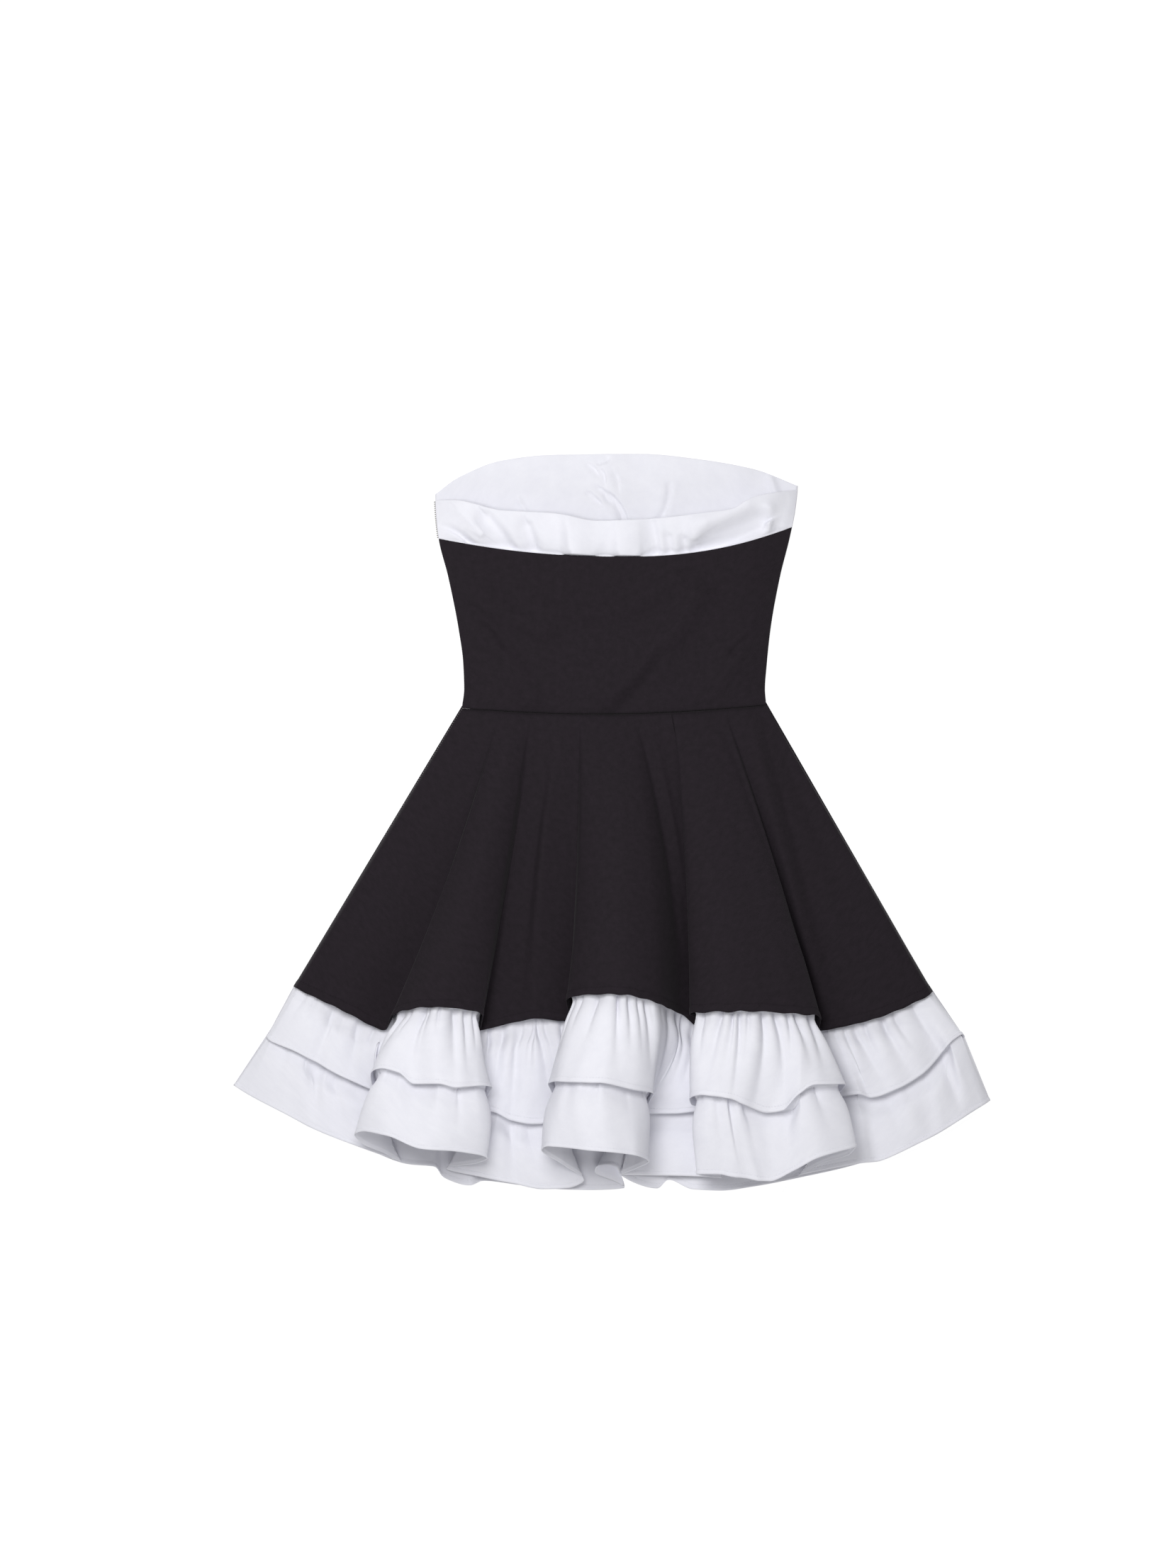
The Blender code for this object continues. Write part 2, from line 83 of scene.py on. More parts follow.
# Heights of the front's upper faces over the floor, and the thin wall of the front bodice
FRONT_BODICE_Z = 0.95
FRONT_SKIRT_Z = 1.0
FRONT_BAND_Z = 1.8
FRONT_RUFFLE_Z = 0.7
FRONT_BODICE_WALL = 0.7

# How far in from its sides the back rolls up, and how near a seam the creases fade out
SIDE_ROLL = 45.0
SEAM_FADE = 7.0

# How much closer a panel's columns are at its sides, or in its middle where this is below 0
SIDE_CROWDING = 0.08
FRONT_BAND_CROWDING = -0.1

# How much closer a ruffle's columns are at a gather, and the steps that a hem is measured in
GATHER_CROWDING = 2.0
FINE_STEPS = 6000

# The waist seam: how far the front's lies above the back's, how deep the back's pulls in, how far
# up the bodice that reaches, and how quickly it ends down the skirt
FRONT_WAIST = 3.0
WAIST_PINCH = 1.8
PINCH_REACH = 2.5
PINCH_END = 120

# How far the bodice rolls out below the bust band, and how far down that reaches
BODICE_ROLL = 2.2
ROLL_REACH = 9.0

# The puffed band: the share of a half wave that it rises through, how near its seam the folds end,
# how far it sinks there and how far up that reaches, the most that a fold can sink, and the height,
# in shares of the band's own, at which its weakening folds would be gone
PUFF_SHARE = 0.5
BAND_FADE = 1.4
BAND_SINK = 4.0
SINK_REACH = 8.0
DEEPEST_BAND = 11.0
FOLDS_END = 1.7

# A band turns over at its top edge: how far in its second layer lies, and the steps of the turn
BACK_BAND_DROP = 1.3
FRONT_BAND_DROP = 1.2
TURN_STEPS = 6

# Where down its parent's fall a back ruffle starts inside it, the rows of the skirt's strip that it
# follows there, and the columns on each side that its direction is averaged over
SKIRT_STRIP = 0.955
RUFFLE_STRIP = 0.82
STRIP_ROWS = 6
SMOOTH_COLUMNS = 14

# A back ruffle lies still near its side seams and never sinks as low as the front
SIDE_FADE = 60.0
LOWEST_BACK = 5.0

# Its gathers: the most that they sink in, how much more they do than their rows say, and how much
# more again in the valleys between the flutes
DEEPEST_GATHER = 16.0
GATHER_GAIN = 1.9
VALLEY_GATHER = 0.4

# The many short gathers between the main ones, least and most: gap, depth, width and reach
SMALL_GATHERS = [(8, 26), (0.8, 3.0), (1.2, 2.2), (0.06, 0.3)]

# How far down from its seam it is tucked in, how far out it puffs and how far down that grows
TUCK_REACH = 20.0
PUFF = 2.0
PUFF_REACH = 16.0

# How much more it puffs in a valley, the height that valleys start below, and how much lower they
# are at their full depth
VALLEY_PUFF = 7.0
VALLEY_TOP = 45.0
VALLEY_FADE = 25.0

# Its ripples: how long they are across it, and how much they are slowed down along its fall
RIPPLE_WAVE = 26
RIPPLE_DOWN = 0.35

# A front ruffle's puffs along its seam: how many columns each takes and how high they stand
FRONT_PUFF_COLUMNS = 7
FRONT_PUFF = 2.2

# How far over its parent's face a front ruffle starts, and how many rows above the parent's edge
UNDER_SKIRT = 0.9
UNDER_RUFFLE = 0.7
SKIRT_ROWS_UP = 3
RUFFLE_ROWS_UP = 9

# Turned hems: how deep they are, how far they stand out and how softly that starts, and how far
# their stitches pull in and how wide that groove is
SKIRT_TURN = 8.0
RUFFLE_TURN = 4.5
TURN_RISE = 0.45
TURN_SOFTNESS = 0.4
TURN_GROOVE = 0.35
GROOVE_REACH = 0.9

# Where the rows of points near a hem lie, in shares of its turn, which of them is stitched, and
# how far above them the even rows end
TURN_ROWS = (1.6, 1.25, 1.0, 0.75, 0.35, 0)
STITCHED_ROW = 3
ROW_GAP = 1.5

# Stitches: how far apart they are, half of one as a share of that, and how thick the thread is
STITCH_PITCH = 3.2
HALF_STITCH = 0.34
THREAD = 0.45

# Rough lengths of the back skirt and of a ruffle, for the rows of points near their hems
SKIRT_FALL = 310
RUFFLE_FALL = 75

# The zip runs from the band's top to below the waist along the left side: its tape starts a little
# inside the edge and lies a little over the front
ZIP_TOP_Y = 339
ZIP_END_Y = -20
ZIP_WIDTH = 9
TAPE_INSET = 0.6
TAPE_LIFT = 0.6
TAPE_WALL = 0.5

# The teeth stand out past the band's side and stay inside the black cloth's: how far apart they
# are, half of one's width as a share of that, and half its length and its height
TEETH_OUT = 0.5
TEETH_IN = 1.0
TOOTH_PITCH = 2.2
HALF_TOOTH = 0.36
TOOTH_REACH = 1.2
TOOTH_LIFT = 0.4
TOOTH_HEIGHT = 0.75

# How far apart the bands of Blender's wave texture are at a scale of 1
WAVE_GAP = 0.314

# The picture's frame in metres: how much of the floor it shows from top to bottom, and its middle
VIEW_HEIGHT = 1.659
VIEW_MIDDLE = (-0.0251, 0.0405)

# Where the softboxes stand and how wide they are, in metres, and the point that they face
KEY_PLACE = (-0.27, 0.36, 1.4)
HEM_PLACE = (0.1, -1.6, 0.9)
SOFTBOX_WIDTH = 0.8
SKIRT_MIDDLE = (0, -0.15, 0)

# How far the paper floor reaches each way, and how far below the dress it lies
FLOOR_REACH = 6000
FLOOR_GAP = 1

Seam = namedtuple("Seam", "low_x low_y left_reach left_rise right_reach right_rise power")
Side = namedtuple("Side", "y left right")
Edge = namedtuple("Edge", "x y")
Point = namedtuple("Point", "x y z", defaults=[0])
Fold = namedtuple("Fold", "waist_x mid_x hem_x hem_y mid_z hem_z")
Hem = namedtuple("Hem", "place x y z")
Crease = namedtuple("Crease", "x1 y1 x2 y2 bow width height lean", defaults=[0])
Gather = namedtuple("Gather", "place drift depth width reach")
Soft = namedtuple("Soft", "place drift start end width height")
Relief = namedtuple("Relief", "height wave seed")
Grid = namedtuple("Grid", "rows columns")
Tier = namedtuple("Tier", "hem gathers depth tuck lead seed")
Cut = namedtuple("Cut", "width length area rests_on")

WAIST_SEAM = Seam(-15, 114.5, 170, 9, 170, 9, 2.0)
BAND_SEAM = Seam(15, 280, 200, 20, 176, 32, 2.2)

# Side seams of the bodice and band, from the waist up
SIDES = [
    Side(115, -159, 164),
    Side(140, -156, 162),
    Side(168, -157, 164),
    Side(205, -162, 168),
    Side(260, -173, 178),
    Side(300, -183, 188),
    Side(330, -186, 194),
    Side(356, -187, 197),
]

# Top edge of the back band
BACK_TOP = [
    Edge(-187, 340),
    Edge(-165, 339),
    Edge(-116, 328),
    Edge(-62, 325),
    Edge(-15, 317),
    Edge(40, 319),
    Edge(95, 325),
    Edge(125, 329),
    Edge(150, 342),
    Edge(196, 351),
]

# Top edge of the front band
FRONT_TOP = [
    Edge(-187, 346),
    Edge(-162, 364),
    Edge(-116, 382),
    Edge(-62, 388),
    Edge(32, 389),
    Edge(94, 383),
    Edge(150, 373),
    Edge(197, 355),
]

# Fold lines of the back skirt, from the left side seam to the right one
SKIRT_FOLDS = [
    Fold(-158, -247, -336, -173, 4, 6),  # left side seam
    Fold(-156, -243, -332, -175, 11, 15),
    Fold(-143, -212, -287, -196, 15, 22),
    Fold(-122, -172, -240, -219, 15, 19),  # first flute
    Fold(-116, -166, -229, -200, 28, 46),
    Fold(-102, -138, -184, -191, 40, 70),
    Fold(-88, -111, -135, -202, 27, 44),
    Fold(-83, -108, -139, -220, 15, 19),
    Fold(-64, -84, -102, -211, 13, 16),
    Fold(-50, -74, -80, -206, 18, 21),
    Fold(-36, -42, -42, -211, 14, 17),  # second flute
    Fold(-30, -33, -48, -185, 30, 50),
    Fold(-4, 6, 6, -177, 44, 84),
    Fold(14, 38, 46, -187, 37, 68),
    Fold(31, 66, 75, -203, 16, 24),
    Fold(47, 79, 92, -216, 13, 16),
    Fold(60, 90, 104, -213, 15, 20),  # third flute
    Fold(66, 77, 81, -200, 32, 52),
    Fold(82, 108, 126, -195, 44, 78),
    Fold(100, 146, 186, -198, 40, 70),
    Fold(116, 171, 219, -205, 30, 44),
    Fold(121, 174, 217, -220, 18, 20),
    Fold(142, 184, 232, -217, 25, 18),
    Fold(155, 200, 248, -214, 15, 18),
    Fold(158, 218, 282, -205, 14, 20),
    Fold(161, 249, 335, -182, 11, 15),
    Fold(163, 251, 339, -179, 4, 6),  # right side seam
]

# Hem of the upper back ruffle: a place counts the skirt's fold lines from 0
UPPER_HEM = [
    Hem(0, -365, -227, 5),
    Hem(1, -361, -230, 13),
    Hem(1.5, -336, -240, 20),
    Hem(2, -312, -253, 20),
    Hem(2.5, -288, -266, 20),
    Hem(3, -247, -285, 15),
    Hem(3.6, -251, -275, 34),
    Hem(4, -252, -262, 54),
    Hem(4.35, -238, -255, 72),
    Hem(4.6, -222, -259, 76),
    Hem(4.85, -205, -271, 76),
    Hem(5.15, -180, -270, 84),
    Hem(5.4, -162, -274, 82),
    Hem(5.8, -139, -273, 70),
    Hem(6, -126, -277, 50),
    Hem(6.4, -131, -287, 34),
    Hem(7, -145, -301, 16),
    Hem(7.6, -124, -305, 21),
    Hem(8.15, -106, -314, 17),
    Hem(9, -82, -318, 17),
    Hem(10, -49, -311, 15),
    Hem(10.4, -57, -294, 30),
    Hem(11, -66, -273, 54),
    Hem(11.3, -58, -268, 76),
    Hem(12, -14, -268, 97),
    Hem(12.5, 20, -276, 84),
    Hem(13, 43, -283, 56),
    Hem(13.4, 38, -294, 36),
    Hem(14, 28, -306, 17),
    Hem(15, 66, -307, 15),
    Hem(16, 98, -302, 18),
    Hem(16.6, 85, -296, 38),
    Hem(17, 80, -289, 50),
    Hem(17.4, 93, -283, 68),
    Hem(18, 121, -286, 76),
    Hem(18.4, 138, -293, 72),
    Hem(18.75, 161, -302, 64),
    Hem(19, 177, -299, 70),
    Hem(19.25, 194, -281, 80),
    Hem(19.6, 212, -271, 78),
    Hem(20, 244, -273, 54),
    Hem(20.5, 240, -282, 32),
    Hem(21, 230, -291, 18),
    Hem(22.1, 261, -286, 22),
    Hem(22.7, 273, -290, 17),
    Hem(23.4, 300, -281, 20),
    Hem(24, 326, -266, 20),
    Hem(24.5, 347, -244, 16),
    Hem(24.9, 355, -232, 27),
    Hem(25.5, 369, -223, 22),
    Hem(26, 373, -227, 5),
]

# Hem of the lower back ruffle at places along the same fold lines
LOWER_HEM = [
    Hem(0, -400, -278, 3),
    Hem(1, -382, -288, 11),
    Hem(1.5, -346, -306, 18),
    Hem(2, -316, -322, 17),
    Hem(2.5, -279, -338, 12),
    Hem(3, -221, -359, 8),
    Hem(3.4, -238, -349, 19),
    Hem(3.75, -262, -337, 33),
    Hem(4.05, -269, -327, 48),
    Hem(4.3, -257, -321, 66),
    Hem(4.6, -234, -324, 82),
    Hem(5, -199, -337, 88),
    Hem(5.5, -162, -341, 76),
    Hem(6, -131, -351, 47),
    Hem(6.35, -142, -358, 30),
    Hem(7, -175, -365, 10),
    Hem(7.6, -136, -374, 15),
    Hem(8.1, -105, -381, 13),
    Hem(9, -72, -387, 10),
    Hem(9.6, -46, -386, 9),
    Hem(10, -29, -377, 12),
    Hem(10.5, -49, -361, 28),
    Hem(11, -74, -342, 52),
    Hem(11.25, -64, -336, 72),
    Hem(12, -10, -339, 98),
    Hem(12.6, 22, -344, 84),
    Hem(13, 38, -354, 50),
    Hem(13.4, 25, -364, 26),
    Hem(13.9, 9, -372, 11),
    Hem(15, 72, -373, 10),
    Hem(16, 116, -375, 12),
    Hem(16.5, 102, -373, 25),
    Hem(17, 89, -368, 42),
    Hem(17.4, 108, -367, 54),
    Hem(18, 134, -370, 60),
    Hem(18.7, 165, -374, 56),
    Hem(19.1, 191, -361, 66),
    Hem(19.5, 216, -347, 74),
    Hem(20, 255, -338, 53),
    Hem(20.35, 250, -348, 34),
    Hem(20.7, 222, -359, 18),
    Hem(21, 196, -373, 9),
    Hem(21.9, 266, -359, 16),
    Hem(22.5, 280, -358, 13),
    Hem(23, 308, -346, 17),
    Hem(24, 341, -329, 18),
    Hem(25, 391, -299, 10),
    Hem(26, 400, -294, 3),
]

# Hems of the front, which lie on the floor but for low waves
FRONT_SKIRT_HEM = [
    Point(-336, -173),
    Point(-240, -215),
    Point(-120, -238),
    Point(0, -244),
    Point(120, -240),
    Point(240, -218),
    Point(339, -179),
]
FRONT_UPPER_HEM = [
    Point(-365, -227),
    Point(-260, -284),
    Point(-130, -315),
    Point(0, -322),
    Point(130, -318),
    Point(260, -290),
    Point(373, -227),
]
FRONT_LOWER_HEM = [
    Point(-400, -278),
    Point(-310, -326),
    Point(-256, -347, 1),
    Point(-214, -361, 8),
    Point(-187, -363, 12),
    Point(-178, -375, 3),
    Point(-150, -383, 11),
    Point(-136, -379, 2),
    Point(-95, -384),
    Point(-55, -388, 1),
    Point(-20, -389),
    Point(15, -386, 1),
    Point(2, -379, 3),
    Point(-18, -369, 7),
    Point(-16, -363, 13),
    Point(-5, -361, 16),
    Point(5, -364, 13),
    Point(9, -372, 7),
    Point(48, -387, 3),
    Point(60, -378, 1),
    Point(86, -388, 3),
    Point(115, -389, 6),
    Point(150, -385, 2),
    Point(205, -374, 4),
    Point(250, -364, 2),
    Point(328, -338),
    Point(400, -294),
]

# Gathers of the upper back ruffle, deepest where it is sewn on
UPPER_GATHERS = [
    Gather(0.7, 0.0, 3.0, 5, 0.7),
    Gather(1.27, -0.1, 5.0, 3, 0.4),
    Gather(1.5, 0.0, 4.0, 2.5, 0.2),
    Gather(1.88, 0.12, 11.0, 5, 1.1),
    Gather(2.16, 0.1, 7.0, 12, 0.8),
    Gather(2.48, 0.14, 10.0, 3.5, 0.9),
    Gather(2.72, 0.0, 4.5, 2.5, 0.3),
    Gather(4.12, -0.04, 5.0, 3, 0.4),
    Gather(4.36, 0.0, 3.5, 2.5, 0.2),
    Gather(4.67, 0.1, 10.0, 4.5, 1.0),
    Gather(4.82, 0.05, 4.0, 2.5, 0.5),
    Gather(5.1, 0.0, 4.0, 2.0, 0.12),
    Gather(5.39, 0.03, 8.0, 3.5, 0.8),
    Gather(5.6, 0.04, 7.5, 3.5, 0.6),
    Gather(5.8, 0.0, 4.5, 2.5, 0.3),
    Gather(6.5, 0.0, 5.0, 4, 0.5),
    Gather(7.38, 0.15, 8.0, 3.0, 0.8),
    Gather(7.7, -0.1, 9.0, 3.0, 0.8),
    Gather(8.16, 0.03, 9.0, 3, 0.8),
    Gather(8.5, 0.0, 8.0, 3.0, 0.3),
    Gather(8.76, 0.0, 9.0, 3.5, 0.35),
    Gather(9.05, 0.4, 9.0, 3.0, 0.9),
    Gather(9.22, 0.5, 7.0, 3.0, 0.6),
    Gather(9.62, 0.1, 5.0, 3.5, 0.5),
    Gather(10.5, 0.0, 4.0, 4, 0.6),
    Gather(11.12, -0.03, 7.0, 3.5, 0.45),
    Gather(11.36, 0.0, 3.0, 2.0, 0.15),
    Gather(11.62, 0.0, 6.0, 2.5, 0.25),
    Gather(12.0, 0.3, 9.0, 3.5, 0.8),
    Gather(12.36, 0.1, 6.5, 2.5, 0.35),
    Gather(12.6, 0.1, 4.5, 3.0, 0.4),
    Gather(12.85, 0.0, 6.0, 4.0, 0.5),
    Gather(13.7, 0.0, 5.0, 3, 0.3),
    Gather(14.05, 0.3, 6.0, 3.0, 0.5),
    Gather(14.4, 0.2, 6.0, 3.0, 0.4),
    Gather(14.85, 0.0, 7.0, 4, 0.5),
    Gather(15.4, 0.0, 5.0, 3, 0.4),
    Gather(16.2, 0.0, 4.0, 4, 0.6),
    Gather(17.35, 0.0, 5.0, 3, 0.3),
    Gather(17.72, -0.28, 8.5, 3.5, 0.9),
    Gather(17.97, -0.2, 8.0, 3.0, 0.6),
    Gather(18.13, -0.06, 9.5, 3.5, 0.95),
    Gather(18.28, -0.1, 5.0, 2.5, 0.3),
    Gather(18.55, 0.0, 9.5, 4.0, 1.0),
    Gather(18.75, 0.25, 8.5, 3.5, 1.0),
    Gather(18.98, 0.0, 5.5, 2.5, 0.2),
    Gather(19.22, 0.4, 8.5, 3.5, 0.5),
    Gather(19.66, 0.1, 8.5, 3.5, 0.9),
    Gather(20.3, 0.0, 4.0, 3.5, 0.4),
    Gather(21.4, 0.0, 5.0, 4, 0.6),
    Gather(22.05, 0.1, 3.5, 4, 0.5),
    Gather(22.75, 0.0, 5.0, 3, 0.3),
    Gather(23.18, 0.1, 9.0, 3.5, 1.0),
    Gather(23.45, -0.1, 6.0, 3.0, 0.3),
    Gather(24.03, -0.2, 9.0, 3.5, 0.9),
    Gather(24.25, -0.1, 5.0, 3.0, 0.4),
    Gather(24.6, -0.05, 10.0, 4, 0.8),
    Gather(25.25, 0.0, 3.5, 5, 0.5),
]

# Soft gathers of the lower back ruffle
LOWER_GATHERS = [
    Gather(0.6, 0.0, 1.5, 8, 0.6),
    Gather(1.35, 0.0, 6.5, 8, 0.8),
    Gather(2.06, 0.0, 6.5, 7, 0.6),
    Gather(2.45, 0.1, 5.0, 9, 1.0),
    Gather(3.4, 0.0, 2.5, 7, 0.7),
    Gather(4.55, 0.0, 2.0, 9, 0.8),
    Gather(5.02, 0.0, 2.0, 10, 0.7),
    Gather(5.5, 0.0, 6.0, 7, 0.45),
    Gather(6.5, 0.0, 2.5, 6, 0.8),
    Gather(7.35, 0.0, 2.5, 6, 0.8),
    Gather(8.16, 0.0, 5.0, 3, 1.8),
    Gather(8.8, 0.0, 4.0, 8, 0.6),
    Gather(9.5, 0.0, 3.0, 8, 0.8),
    Gather(10.5, 0.0, 2.0, 7, 0.8),
    Gather(11.5, 0.0, 1.5, 9, 0.6),
    Gather(11.95, 0.0, 3.0, 5, 0.3),
    Gather(12.5, 0.0, 2.0, 10, 0.7),
    Gather(13.5, 0.0, 2.5, 7, 0.8),
    Gather(14.6, 0.0, 3.5, 7, 0.8),
    Gather(15.6, 0.0, 4.0, 8, 0.9),
    Gather(16.5, 0.0, 2.5, 7, 0.8),
    Gather(17.7, 0.0, 3.0, 7, 0.9),
    Gather(18.07, 0.0, 5.5, 7, 0.9),
    Gather(18.5, 0.0, 2.0, 8, 0.8),
    Gather(19.03, 0.0, 5.5, 7, 1.0),
    Gather(19.62, 0.12, 6.5, 5, 0.9),
    Gather(20.4, 0.0, 2.5, 7, 0.7),
    Gather(21.4, 0.0, 2.5, 7, 0.8),
    Gather(22.1, 0.0, 2.5, 5, 1.0),
    Gather(23.1, 0.0, 4.5, 12, 1.0),
    Gather(24.0, 0.0, 2.5, 9, 0.8),
    Gather(24.5, 0.1, 5.0, 9, 0.9),
    Gather(25.4, 0.0, 1.5, 8, 0.6),
]

# Soft ridges and hollows that run down the back skirt along its fold lines
SKIRT_SOFTS = [
    Soft(2.6, 0.0, 0.15, 1.0, 14, -2.0),
    Soft(4.1, 0.1, 0.1, 1.0, 9, -1.5),
    Soft(8.9, 0.2, 0.2, 0.8, 10, 2.0),
    Soft(10.35, 0.0, 0.03, 1.0, 5, -4.0),
    Soft(11.7, 0.0, 0.0, 0.5, 9, -1.5),
    Soft(13.7, 0.2, 0.04, 0.8, 8, -2.5),
    Soft(14.4, 0.3, 0.02, 0.6, 7, 2.0),
    Soft(16.5, -0.4, 0.0, 0.4, 5, -5.5),
    Soft(19.6, 0.5, 0.02, 0.8, 9, -2.0),
    Soft(18.6, 0.2, 0.5, 1.0, 14, -1.2),
    Soft(24.3, 0.0, 0.1, 0.9, 16, -1.6),
    Soft(7.1, 0.0, 0.12, 1.0, 5, -3.5),
    Soft(15.8, 0.0, 0.25, 1.0, 5, -3.0),
    Soft(21.3, 0.0, 0.3, 1.0, 5, -3.0),
]

# Soft folds where the bodice is slack over its sides
BODICE_CREASES = [
    Crease(-167, 264, -73, 202, -6, 13, 5.0),
    Crease(-158, 217, -86, 132, 8, 12, 4.5),
    Crease(-81, 229, 67, 256, -20, 12, 4.0),
    Crease(89, 239, -3, 135, 8, 15, 6.0),
    Crease(172, 250, 103, 142, 8, 11, 4.5),
    Crease(-166, 243, -112, 186, 4, 5, -2.4),
    Crease(-96, 222, -60, 236, 0, 5, -1.2),
    Crease(17, 262, 14, 252, 0, 4, -1.2),
    Crease(-94, 272, -88, 266, 0, 4, 1.2),
    Crease(176, 252, 128, 180, 6, 4, -2.8),
    Crease(128, 180, 100, 138, 2, 6, -2.2),
    Crease(-155, 128, -140, 150, 0, 6, -1.6),
    Crease(52, 178, 12, 124, 3, 8, -3.2),
]

# Puffs of the gathered back band: ridges stand up and troughs go down
BAND_CREASES = [
    Crease(-182, 313, -147, 290, 4, 3, -7.0, -0.3),
    Crease(-160, 328, -136, 306, 0, 10, 3.5, -0.4),
    Crease(-131, 321, -106, 287, 1, 9, -9.0, 0.4),
    Crease(-88, 312, -80, 286, 0, 7, -7.0, 0.4),
    Crease(-46, 322, -43, 288, 0, 14, 6.0, -0.5),
    Crease(6, 320, 8, 288, 0, 16, 4.0, -0.6),
    Crease(43, 314, 48, 286, 0, 8, -7.0, 0.5),
    Crease(60, 300, 62, 286, 0, 5, -4.0, 0.3),
    Crease(76, 298, 77, 286, 0, 4, -3.0, 0.3),
    Crease(84, 316, 88, 300, 0, 9, 4.0, -0.3),
    Crease(156, 313, 97, 284, -1, 9, -18.0, 0.4),
    Crease(140, 338, 100, 318, 0, 10, 5.0),
    Crease(166, 330, 164, 316, 0, 7, 4.0),
    Crease(184, 340, 176, 314, 0, 7, -3.0, 0.2),
]

# Ruched middle and loose creases of the front band, seen from inside
FRONT_BAND_CREASES = [
    Crease(-8, 380, 2, 326, 0, 22, 3.4),
    Crease(56, 350, 55, 326, 0, 12, 2.2),
    Crease(-22, 377, -15, 369, 1, 3.0, -2.6, 0.6),
    Crease(-5, 382, -13, 379, 0, 2.6, -2.4, 0.6),
    Crease(-10, 371, -7, 361, 1, 2.8, -2.2, 0.6),
    Crease(-22, 347, -12, 338, 0, 3.0, -2.6, 0.6),
    Crease(-12, 353, -3, 343, 1, 3.2, -2.8, 0.6),
    Crease(1, 344, 15, 320, 2, 4.2, -4.6, 0.6),
    Crease(4, 368, 8, 354, 1, 3, -1.4, 0.6),
    Crease(63, 354, 52, 320, 3, 3.2, -3.2, 0.6),
    Crease(-98, 342, -90, 327, 0, 2.2, 1.8),
    Crease(168, 364, 174, 346, 0, 4, 3.0),
    Crease(-150, 362, -60, 384, 6, 10, 1.5),
    Crease(40, 384, 140, 366, 8, 10, 1.5),
]

# Gentle unevenness of the cloths: how high it is, how long its waves are and the seed of its draw
RELIEFS = {
    "back bodice": Relief(0.5, 60, 4),
    "front bodice": Relief(0.15, 50, 21),
    "back band": Relief(0.4, 22, 9),
    "front band": Relief(0.25, 24, 5),
    "back skirt's hem": Relief(1.2, 16, 7),
    "front skirt": Relief(0.1, 70, 33),
}

# Rows and columns of faces in each sheet: a turned hem adds its own rows
GRIDS = {
    "back bodice": Grid(84, 150),
    "front bodice": Grid(40, 90),
    "back band": Grid(36, 280),
    "front band": Grid(64, 230),
    "back skirt": Grid(88, 320),
    "back ruffle": Grid(36, 780),
    "front skirt": Grid(50, 280),
    "front ruffle": Grid(28, 280),
    "zip tape": Grid(89, 7),
}


def linear(code):
    """Return the linear colour of an sRGB hex code."""
    parts = [int(code[i:i + 2], 16) / 255 for i in (1, 3, 5)]
    return [p / 12.92 if p <= 0.04045 else ((p + 0.055) / 1.055) ** 2.4 for p in parts]


def size(name):
    """Return one of the dress's sizes in millimetres."""
    return getattr(bpy.context.scene.dress_sizes, name) / MM


def rates(knots, points):
    """Return how fast each coordinate changes at each point: level where it turns back."""
    steps = np.diff(points, axis=0) / np.diff(knots)[:, None]
    before, after = steps[:-1], steps[1:]
    total = before + after
    total[total == 0] = 1
    inner = np.where(before * after > 0, 2 * before * after / total, 0)
    return np.vstack([steps[:1], inner, steps[-1:]])


def curve(knots, points, places):
    """Return the places along a smooth curve that turns back only at its own points."""
    knots = np.asarray(knots, float)
    points = np.asarray(points, float)
    slopes = rates(knots, points)
    left = np.clip(np.searchsorted(knots, places, side="right") - 1, 0, len(knots) - 2)
    span = (knots[left + 1] - knots[left])[:, None]
    t = (places - knots[left])[:, None] / span
    start = points[left] * (1 + 2 * t) * (1 - t) ** 2 + slopes[left] * span * t * (1 - t) ** 2
    end = points[left + 1] * t**2 * (3 - 2 * t) - slopes[left + 1] * span * t**2 * (1 - t)
    return start + end


def lengths(points):
    """Return the distance along a line of points, from its start to each of them."""
    steps = np.linalg.norm(np.diff(np.asarray(points, float), axis=0), axis=1)
    return np.concatenate([[0], np.cumsum(steps)])


def edge_y(edge, x):
    """Return how high an edge lies at x."""
    points = np.array(edge, float)
    return curve(points[:, 0], points[:, 1:], np.ravel(x))[:, 0].reshape(np.shape(x))


def side_x(y, column):
    """Return where a side seam of the bodice lies at y: column 1 is the left and 2 the right."""
    points = np.array(SIDES, float)
    return curve(points[:, 0], points[:, column:column + 1], np.atleast_1d(y))[0, 0]


def seam_y(seam, x):
    """Return how high a seam across the dress lies at x."""
    left = np.clip((seam.low_x - x) / seam.left_reach, 0, None) ** seam.power
    right = np.clip((x - seam.low_x) / seam.right_reach, 0, None) ** seam.power
    return seam.low_y + seam.left_rise * left + seam.right_rise * right


def waist_y(x):
    """Return the waist seam."""
    return seam_y(WAIST_SEAM, x)


def band_seam_y(x):
    """Return the seam between bodice and band."""
    return seam_y(BAND_SEAM, x)


def back_top_y(x):
    """Return the top edge of the back band."""
    return edge_y(BACK_TOP, x)


def front_top_y(x):
    """Return the top edge of the front band."""
    return edge_y(FRONT_TOP, x)


def crease_height(x, y, creases):
    """Return the height that soft folds add: each runs from end to end, with a bow and a lean."""
    height = np.zeros(np.shape(x))
    for crease in creases:
        along = np.array([crease.x2 - crease.x1, crease.y2 - crease.y1], float)
        length = np.linalg.norm(along)
        along /= length
        run = (x - crease.x1) * along[0] + (y - crease.y1) * along[1]
        aside = (y - crease.y1) * along[0] - (x - crease.x1) * along[1]
        t = np.clip(run / length, 0, 1)
        aside -= crease.bow * 4 * t * (1 - t)
        width = crease.width * (1 - crease.lean * np.tanh(aside))
        height += crease.height * np.exp(-((np.hypot(aside, run - t * length) / width) ** 2))
    return height


